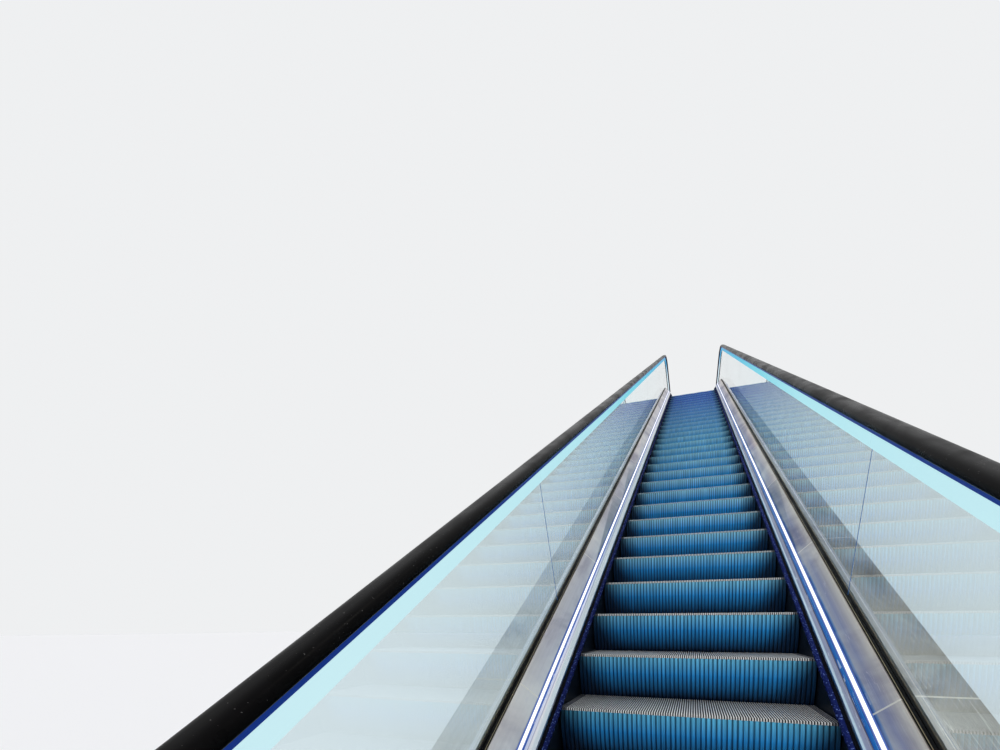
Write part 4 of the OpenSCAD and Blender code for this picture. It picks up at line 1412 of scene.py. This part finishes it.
@dataclass
class Comb:
    """The comb at one landing: a bar with tapered teeth between the cleats.

    Tip, root and back are distances from the comb line, positive over the steps. Map_level and
    map_rate set how worn the metal looks at a height.
    """

    upper: bool
    teeth: int = 109
    width: float = 0.0032
    tip: float = 0.022
    root: float = -0.058
    back: float = -0.075
    top: float = 0.016
    depth: float = 0.007
    embed: float = 0.004
    tip_height: float = 0.002
    tip_round: float = 0.0007
    bar_foot: float = 0.0015
    bar_round: float = 0.001
    map_level: float = 0.9
    map_rate: float = 6.0

    def frame(self) -> Matrix:
        """Sets out the comb line.

        Returns:
            Its frame, with the steps on its +Y side.
        """
        if self.upper:
            line = FLIGHT.on_upper_level() @ Matrix.Translation((0, FLIGHT.level_run, 0))
            return line @ Matrix.Rotation(math.pi, 4, "Z")
        return FLIGHT.seated() @ Matrix.Translation((0, -FLIGHT.level_run, 0))

    def tooth(self) -> bpy.types.Mesh:
        """Models one tooth, which falls from the bar to its rounded tip.

        Returns:
            The tooth, with a surface map that runs from its dark foot to its worn top.
        """
        bm = bmesh.new()
        half = self.width / 2
        verts = boxed(bm, (-half, self.root - self.embed, -self.depth), (half, self.tip, self.top))
        for vert in [vert for vert in verts if vert.co.y > 0 and vert.co.z > 0]:
            vert.co.z = self.tip_height - self.depth
        rounded(bm, edges_where(bm, lambda co: co.y > 0), self.tip_round)
        lay_surface(bm, lambda co: (co.y, self.map_level + co.z * self.map_rate))
        return as_pattern(bm)

    def bar(self) -> bmesh.types.BMesh:
        """Models the bar that carries the teeth.

        Returns:
            The bar.
        """
        bm = bmesh.new()
        boxed(bm, (-FLIGHT.half_step, self.back, self.bar_foot), (FLIGHT.half_step, self.root, self.top))
        rounded(bm, edges_where(bm, lambda co: co.z > self.top / 2), self.bar_round)
        lay_surface(bm, lambda co: (co.y, 1.0))
        return bm

    def build(self) -> None:
        """Models the comb and puts it in place of its node."""
        pitch = 2 * FLIGHT.half_step / (self.teeth + 1)
        bm = bmesh.new()
        bm.from_mesh(as_pattern(self.bar()))
        repeated(bm, self.tooth(), [Matrix.Translation(((i + 1) * pitch - FLIGHT.half_step, 0.0, 0.0))
                                    for i in range(self.teeth)])
        bmesh.ops.transform(bm, matrix=self.frame(), verts=bm.verts)
        end = "upper" if self.upper else "lower"
        piece = as_object(bm, f"comb_{end}", Kit.COMB)
        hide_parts(f"comb_teeth_{end}")
        LOG.info("comb_%s: %d teeth", end, self.teeth)


# Balustrade

@dataclass
class Handrail:
    """The moulded rubber belt on one side, one closed loop.

    Top and bottom are heights over the nosing line.
    """

    left: bool
    top: float = 0.888
    bottom: float = 0.855
    route: Route = field(default_factory=lambda: Route(14, 36))

    def section(self) -> list[tuple[float, float]]:
        """Sets out the belt's cross-section: the slot round the guide, then the crown.

        Returns:
            [across, up] of each corner, in order round the section.
        """
        foot = self.bottom
        slot = [(0.024, foot + 0.0185), (0.024, foot + 0.009), (0.016, foot + 0.009), (0.016, foot)]
        crown = [(0.0335, foot), (0.0372, foot + 0.0014), (0.0394, foot + 0.0046), (0.040, foot + 0.0085),
                 (0.0398, foot + 0.0135), (0.0385, foot + 0.0185), (0.0358, foot + 0.0232),
                 (0.0315, foot + 0.0272), (0.0255, foot + 0.0302), (0.018, foot + 0.0321),
                 (0.009, self.top - 0.0001)]
        half = slot + crown
        whole = half + [(-x, z) for x, z in reversed(half)]
        return [(FLIGHT.rail_x + x, z) for x, z in whole]

    def build(self) -> None:
        """Sweeps the belt round its loop and puts it in place of its node."""
        sweep = Sweep(self.section(), FLIGHT.newel_reach)
        self.route.over(sweep, FLIGHT.newel_reach, FLIGHT.newel_reach)
        self.route.newel(sweep, True, -180.0)
        self.route.back(sweep)
        self.route.newel(sweep, False, -180.0)
        bm = sweep.finish(closed=True)
        if self.left:
            mirrored(bm)
        side = "left" if self.left else "right"
        piece = as_object(bm, f"belt_{side}", Kit.BELT, 50.0)
        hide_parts(f"handrail_{side}")
        LOG.info("belt_%s: %d faces", side, len(piece.data.polygons))


@dataclass
class SkirtBrush:
    """The deflector brush above each skirt: a holder and rows of bristle tufts.

    Inner is the face of the skirt, root and reach are how far from it the tufts start and end,
    and chunk is a length that is modelled once. Tuft holds half the width and half the height
    of a tuft, and taper what is left of them at its tip.
    """

    inner: float = 0.505
    root: float = 0.006
    reach: float = 0.022
    chunk: float = 0.12
    spacing: float = 0.0024
    stagger: float = 0.4
    rows: tuple[float, ...] = (0.0225, 0.0290)
    tuft: tuple[float, float] = (0.0011, 0.0024)
    taper: tuple[float, float] = (0.5, 0.7)
    droop: float = 0.0035
    sway: tuple[float, float] = (0.0025, 0.0012)
    half_stretch: float = 0.02

    def tufts(self) -> bpy.types.Mesh:
        """Models one short length of bristle tufts.

        Returns:
            The tufts of all rows.
        """
        bm = bmesh.new()
        count = round(self.chunk / self.spacing)
        half_width, half_height = self.tuft
        thin, low = self.taper
        for i in range(count):
            sway = math.sin(i * 12.9898) * 0.5 + math.sin(i * 4.137) * 0.5
            tip = self.inner - self.reach + self.sway[0] * sway
            for row, z in enumerate(self.rows):
                y = (i + 0.5 + self.stagger * row) * self.spacing - self.chunk / 2
                verts = boxed(bm, (tip, y - half_width, z - half_height),
                              (self.inner - self.root, y + half_width, z + half_height))
                for vert in [vert for vert in verts if vert.co.x < self.inner - self.reach / 2]:
                    vert.co.y = y + (vert.co.y - y) * thin + self.sway[1] * sway
                    vert.co.z = z + (vert.co.z - z) * low - self.droop
        return as_pattern(bm)

    def places(self) -> list[Matrix]:
        """Sets the short lengths out along the nosing path, base front to base front.

        Returns:
            One frame for each length.
        """
        total = FLIGHT.path_length + 2 * FLIGHT.base_front
        count = round(total / self.chunk)
        frames = []
        for i in range(count):
            along = -FLIGHT.base_front + (i + 0.5) * total / count
            here = FLIGHT.nosing(along - self.half_stretch)
            ahead = FLIGHT.nosing(along + self.half_stretch)
            turn = math.atan2(ahead.z - here.z, ahead.y - here.y)
            frames.append(Matrix.Translation((here + ahead) / 2) @ Matrix.Rotation(turn, 4, "X"))
        return frames

    def section(self) -> list[tuple[float, float]]:
        """Sets out the holder's cross-section.

        Returns:
            [across, up] of each corner, in order round the section.
        """
        x = self.inner
        return [(x, 0.0164), (x, 0.0424), (x - 0.006, 0.0424), (x - 0.0078, 0.037), (x - 0.0078, 0.0335),
                (x - 0.006, 0.031), (x - 0.006, 0.020), (x - 0.0075, 0.0166)]

    def build(self) -> None:
        """Models holders and bristles and puts them in place of their node."""
        tufts, places = self.tufts(), self.places()
        for side in ("left", "right"):
            bm = bmesh.new()
            repeated(bm, tufts, places)
            if side == "left":
                mirrored(bm)
            bristles = as_object(bm, f"brush_bristles_{side}", Kit.BRISTLE, 10.0)
            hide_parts("skirt_brushes")
            LOG.info("brush_bristles_%s: %d faces", side, len(bristles.data.polygons))
        strip = Route().strip(self.section(), FLIGHT.base_run)
        holder = as_object(both_sides(strip), "brush_holders", Kit.BRUSH_BASE)
        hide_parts("skirt_brushes")
        LOG.info("brush_holders: %d faces", len(holder.data.polygons))


@dataclass
class ChannelEdges:
    """The thin metal edges that show each side of the black glass channel.

    Top is a height over the nosing line, and offset the distance from the middle of the glass.
    """

    top: float = 0.1925
    offset: float = 0.0163
    width: float = 0.0014
    height: float = 0.001
    end_gap: float = 0.001

    def build(self) -> None:
        """Sweeps the four thin edges."""
        whole = bmesh.new()
        half, foot = self.width / 2, self.top - self.height
        run = FLIGHT.base_run - self.end_gap
        for x in (FLIGHT.rail_x - self.offset, FLIGHT.rail_x + self.offset):
            section = [(x - half, foot), (x + half, foot), (x + half, self.top), (x - half, self.top)]
            whole.from_mesh(as_pattern(Route().strip(section, run)))
        piece = as_object(both_sides(whole), "channel_edges", Kit.GOLD_EDGE)
        LOG.info("channel_edges: %d faces", len(piece.data.polygons))


@dataclass
class GlassSeals:
    """The blue seals that fill the joints between the glass panels on the slope; their glow is painted
    light.

    First is the distance of the first joint from the lower bend, and panel the length of a
    panel. Foot and top are heights over the nosing line.
    """

    first: float = 2.12
    panel: float = 3.01
    half_joint: float = 0.0021
    half_glass: float = 0.0046
    foot: float = 0.193
    top: float = 0.807
    edge_round: float = 0.0007

    def build(self) -> None:
        """Fills the open joints with thin strips."""
        bm = bmesh.new()
        count = int((FLIGHT.slope_run - self.first) / self.panel) + 1
        for i in range(count):
            along = self.first + i * self.panel
            verts = boxed(bm, (FLIGHT.rail_x - self.half_glass, along - self.half_joint, self.foot),
                          (FLIGHT.rail_x + self.half_glass, along + self.half_joint, self.top))
            bmesh.ops.transform(bm, matrix=FLIGHT.on_slope(), verts=verts)
        half_height = (self.top - self.foot) / 2
        upright = [edge for edge in bm.edges if edge.calc_length() > half_height]
        rounded(bm, upright, self.edge_round)
        piece = as_object(both_sides(bm), "glass_seals", Kit.SEAL)
        LOG.info("glass_seals: %d joints a side", count)


# Frame pieces and studio

@dataclass
class FramePieces:
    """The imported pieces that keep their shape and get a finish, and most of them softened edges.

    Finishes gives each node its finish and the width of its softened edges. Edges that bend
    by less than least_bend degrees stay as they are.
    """

    finishes: dict[str, tuple[Kit, float]] = field(default_factory=lambda: {
        "body_lower": (Kit.BODY, 0.0015), "body_slope": (Kit.BODY, 0.0),
        "body_upper": (Kit.BODY, 0.0015),
        "bearing_lower": (Kit.BODY, 0.002), "bearing_upper": (Kit.BODY, 0.002),
        "track_supports": (Kit.SUPPORT, 0.0), "step_tracks": (Kit.TRACK, 0.0),
        "step_carriages": (Kit.CARRIAGE, 0.0),
        "comb_plate_lower": (Kit.COVER, 0.0008), "comb_plate_upper": (Kit.COVER, 0.0008),
        "landing_cover_lower": (Kit.COVER, 0.0012), "landing_cover_upper": (Kit.COVER, 0.0012),
        "skirt_left": (Kit.SKIRT, 0.0), "skirt_right": (Kit.SKIRT, 0.0),
        "skirt_trims": (Kit.TRIM, 0.0008), "skirt_lights": (Kit.SKIRT_LIGHT, 0.0),
        "inner_deck_left": (Kit.DECK, 0.0006), "inner_deck_right": (Kit.DECK, 0.0006),
        "outer_deck_left": (Kit.OUTER_DECK, 0.0008), "outer_deck_right": (Kit.OUTER_DECK, 0.0008),
        "glass_channels": (Kit.GASKET, 0.0006), "glass_supports": (Kit.SUPPORT, 0.0),
        "glass_left": (Kit.GLASS, 0.0008), "glass_right": (Kit.GLASS, 0.0008),
        "handrail_lights": (Kit.RAIL_LIGHT, 0.0012), "handrail_guides": (Kit.GUIDE, 0.0),
        "handrail_inlets": (Kit.GASKET, 0.002), "base_front_plates": (Kit.DECK, 0.0006),
        "cladding_left": (Kit.CLADDING, 0.0012), "cladding_right": (Kit.CLADDING, 0.0012),
        "soffit": (Kit.CLADDING, 0.0012)})
    least_bend: float = 38.0

    def soften(self, piece: bpy.types.Object, width: float) -> None:
        """Rounds the edges of a piece a little.

        Args:
            piece: the piece.
            width: width of the rounding, in metres.
        """
        weld = piece.modifiers.new("weld", "WELD")
        weld.merge_threshold = 1e-5
        bevel = piece.modifiers.new("soft_edges", "BEVEL")
        bevel.width, bevel.segments = width, 2
        bevel.limit_method, bevel.angle_limit = "ANGLE", math.radians(self.least_bend)
        bevel.harden_normals = False

    def build(self) -> None:
        """Dresses every kept piece."""
        for name, (kit, width) in self.finishes.items():
            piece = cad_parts[name]
            piece.data.materials.clear()
            piece.data.materials.append(kit.build())
            if width:
                self.soften(piece, width)
            LOG.info("%s: %s", name, kit.value.name)


def seen_directly(graph: Graph) -> Socket:
    """Returns 1 for a ray of the camera, a reflection or a look through glass, and otherwise 0.

    Args:
        graph: the graph of the floor or the surround.

    Returns:
        The value socket.
    """
    path = graph.add("ShaderNodeLightPath")
    seen = graph.math("MAXIMUM", path.outputs["Is Camera Ray"], path.outputs["Is Glossy Ray"])
    return graph.math("MAXIMUM", seen, path.outputs["Is Transmission Ray"])


@dataclass(frozen=True)
class Lamp:
    """A distant lamp: its strength, the angle that it seems to fill and its turns in degrees."""

    name: str
    strength: float
    spread: float
    pitch: float
    roll: float
    color: Color
    mirrored: bool = False

    def hang(self) -> None:
        """Adds the lamp, hidden from glass, and from metal too unless it is mirrored."""
        data = bpy.data.lights.new(self.name, "SUN")
        data.energy, data.angle, data.color = self.strength, math.radians(self.spread), self.color
        lamp = bpy.data.objects.new(self.name, data)
        lamp.rotation_euler = (math.radians(self.pitch), math.radians(self.roll), 0.0)
        lamp.visible_glossy = self.mirrored
        lamp.visible_transmission = False
        bpy.context.collection.objects.link(lamp)


@dataclass
class Studio:
    """The pale floor, the soft light and the camera.

    Shown colours are what the camera, reflections and glass see. Lit colours are what lights
    the object.
    """

    ground: float = CAD_BOX[0][2]
    floor_gap: float = 0.002
    floor_half: float = 150.0
    floor_lit: Color = (0.80, 0.80, 0.80)
    floor_shown: Color = (0.92, 0.90, 0.90)
    floor_roughness: float = 0.9
    sky_lit: Color = (0.82, 0.88, 0.95)
    sky_strength: float = 0.55
    sky_shown: Color = (0.86, 0.87, 0.88)
    lamps: tuple[Lamp, ...] = (
        Lamp("key", 1.5, 50.0, 38.0, -18.0, (1.0, 0.985, 0.96)),
        Lamp("fill", 0.5, 80.0, -50.0, 30.0, (0.9, 0.95, 1.0)),
        Lamp("glint", 0.2, 2.5, -12.0, 14.0, (1.0, 0.93, 0.82), mirrored=True))
    sensor: float = 36.0
    focal_share: float = 0.4816
    shift: tuple[float, float] = (-0.024, 0.2512)
    sight: tuple[float, float] = (0.01, 400.0)
    eye: tuple[float, float, float] = (0.02, 2.472, 1.457)
    heading: float = math.radians(19.4)

    def floor(self) -> None:
        """Lays the plain pale floor."""
        bm = bmesh.new()
        bmesh.ops.create_grid(bm, x_segments=1, y_segments=1, size=self.floor_half)
        bmesh.ops.translate(bm, vec=(0.0, 0.0, self.ground - self.floor_gap), verts=bm.verts)
        mesh = bpy.data.meshes.new("studio_floor")
        bm.to_mesh(mesh)
        bm.free()
        material = bpy.data.materials.new("studio_floor")
        material.use_nodes = True
        graph = Graph(material.node_tree)
        color = graph.mix(seen_directly(graph), solid(self.floor_lit), solid(self.floor_shown))
        values = {"Base Color": color, "Roughness": self.floor_roughness}
        shader = graph.add("ShaderNodeBsdfPrincipled", values)
        end = graph.add("ShaderNodeOutputMaterial")
        graph.feed(end.inputs["Surface"], shader.outputs[0])
        mesh.materials.append(material)
        plane = bpy.data.objects.new("studio_floor", mesh)
        bpy.context.collection.objects.link(plane)

    def sky(self) -> None:
        """Sets a pale surround that is seen brighter than it lights the object."""
        world = bpy.data.worlds.new("studio")
        bpy.context.scene.world = world
        world.use_nodes = True
        graph = Graph(world.node_tree)
        lit = {"Color": solid(self.sky_lit), "Strength": self.sky_strength}
        shown = {"Color": solid(self.sky_shown), "Strength": 1.0}
        sides = [graph.add("ShaderNodeBackground", values).outputs[0] for values in (lit, shown)]
        mix = graph.add("ShaderNodeMixShader", {0: seen_directly(graph), 1: sides[0], 2: sides[1]})
        end = graph.add("ShaderNodeOutputWorld")
        graph.feed(end.inputs["Surface"], mix.outputs[0])

    def camera(self) -> None:
        """Stands the camera over the lowest steps, level, looking up the flight."""
        data = bpy.data.cameras.new("camera")
        data.sensor_width = self.sensor
        data.lens = self.sensor * self.focal_share
        data.shift_x, data.shift_y = self.shift
        data.clip_start, data.clip_end = self.sight
        camera = bpy.data.objects.new("camera", data)
        camera.location = self.eye
        camera.rotation_euler = (math.radians(90), 0.0, self.heading)
        bpy.context.collection.objects.link(camera)
        bpy.context.scene.camera = camera

    def build(self) -> None:
        """Sets up floor, surround, lamps, camera and view."""
        self.floor()
        self.sky()
        for lamp in self.lamps:
            lamp.hang()
        self.camera()
        bpy.context.scene.view_settings.view_transform = "Standard"


def main() -> None:
    """Builds the dressed escalator and its studio."""
    logging.basicConfig(level=logging.INFO, format="%(name)s %(message)s")
    Studio().build()
    StepBand().build()
    for upper in (False, True):
        Comb(upper).build()
    for left in (False, True):
        Handrail(left).build()
    SkirtBrush().build()
    ChannelEdges().build()
    GlassSeals().build()
    FramePieces().build()


if __name__ == "__main__":
    main()
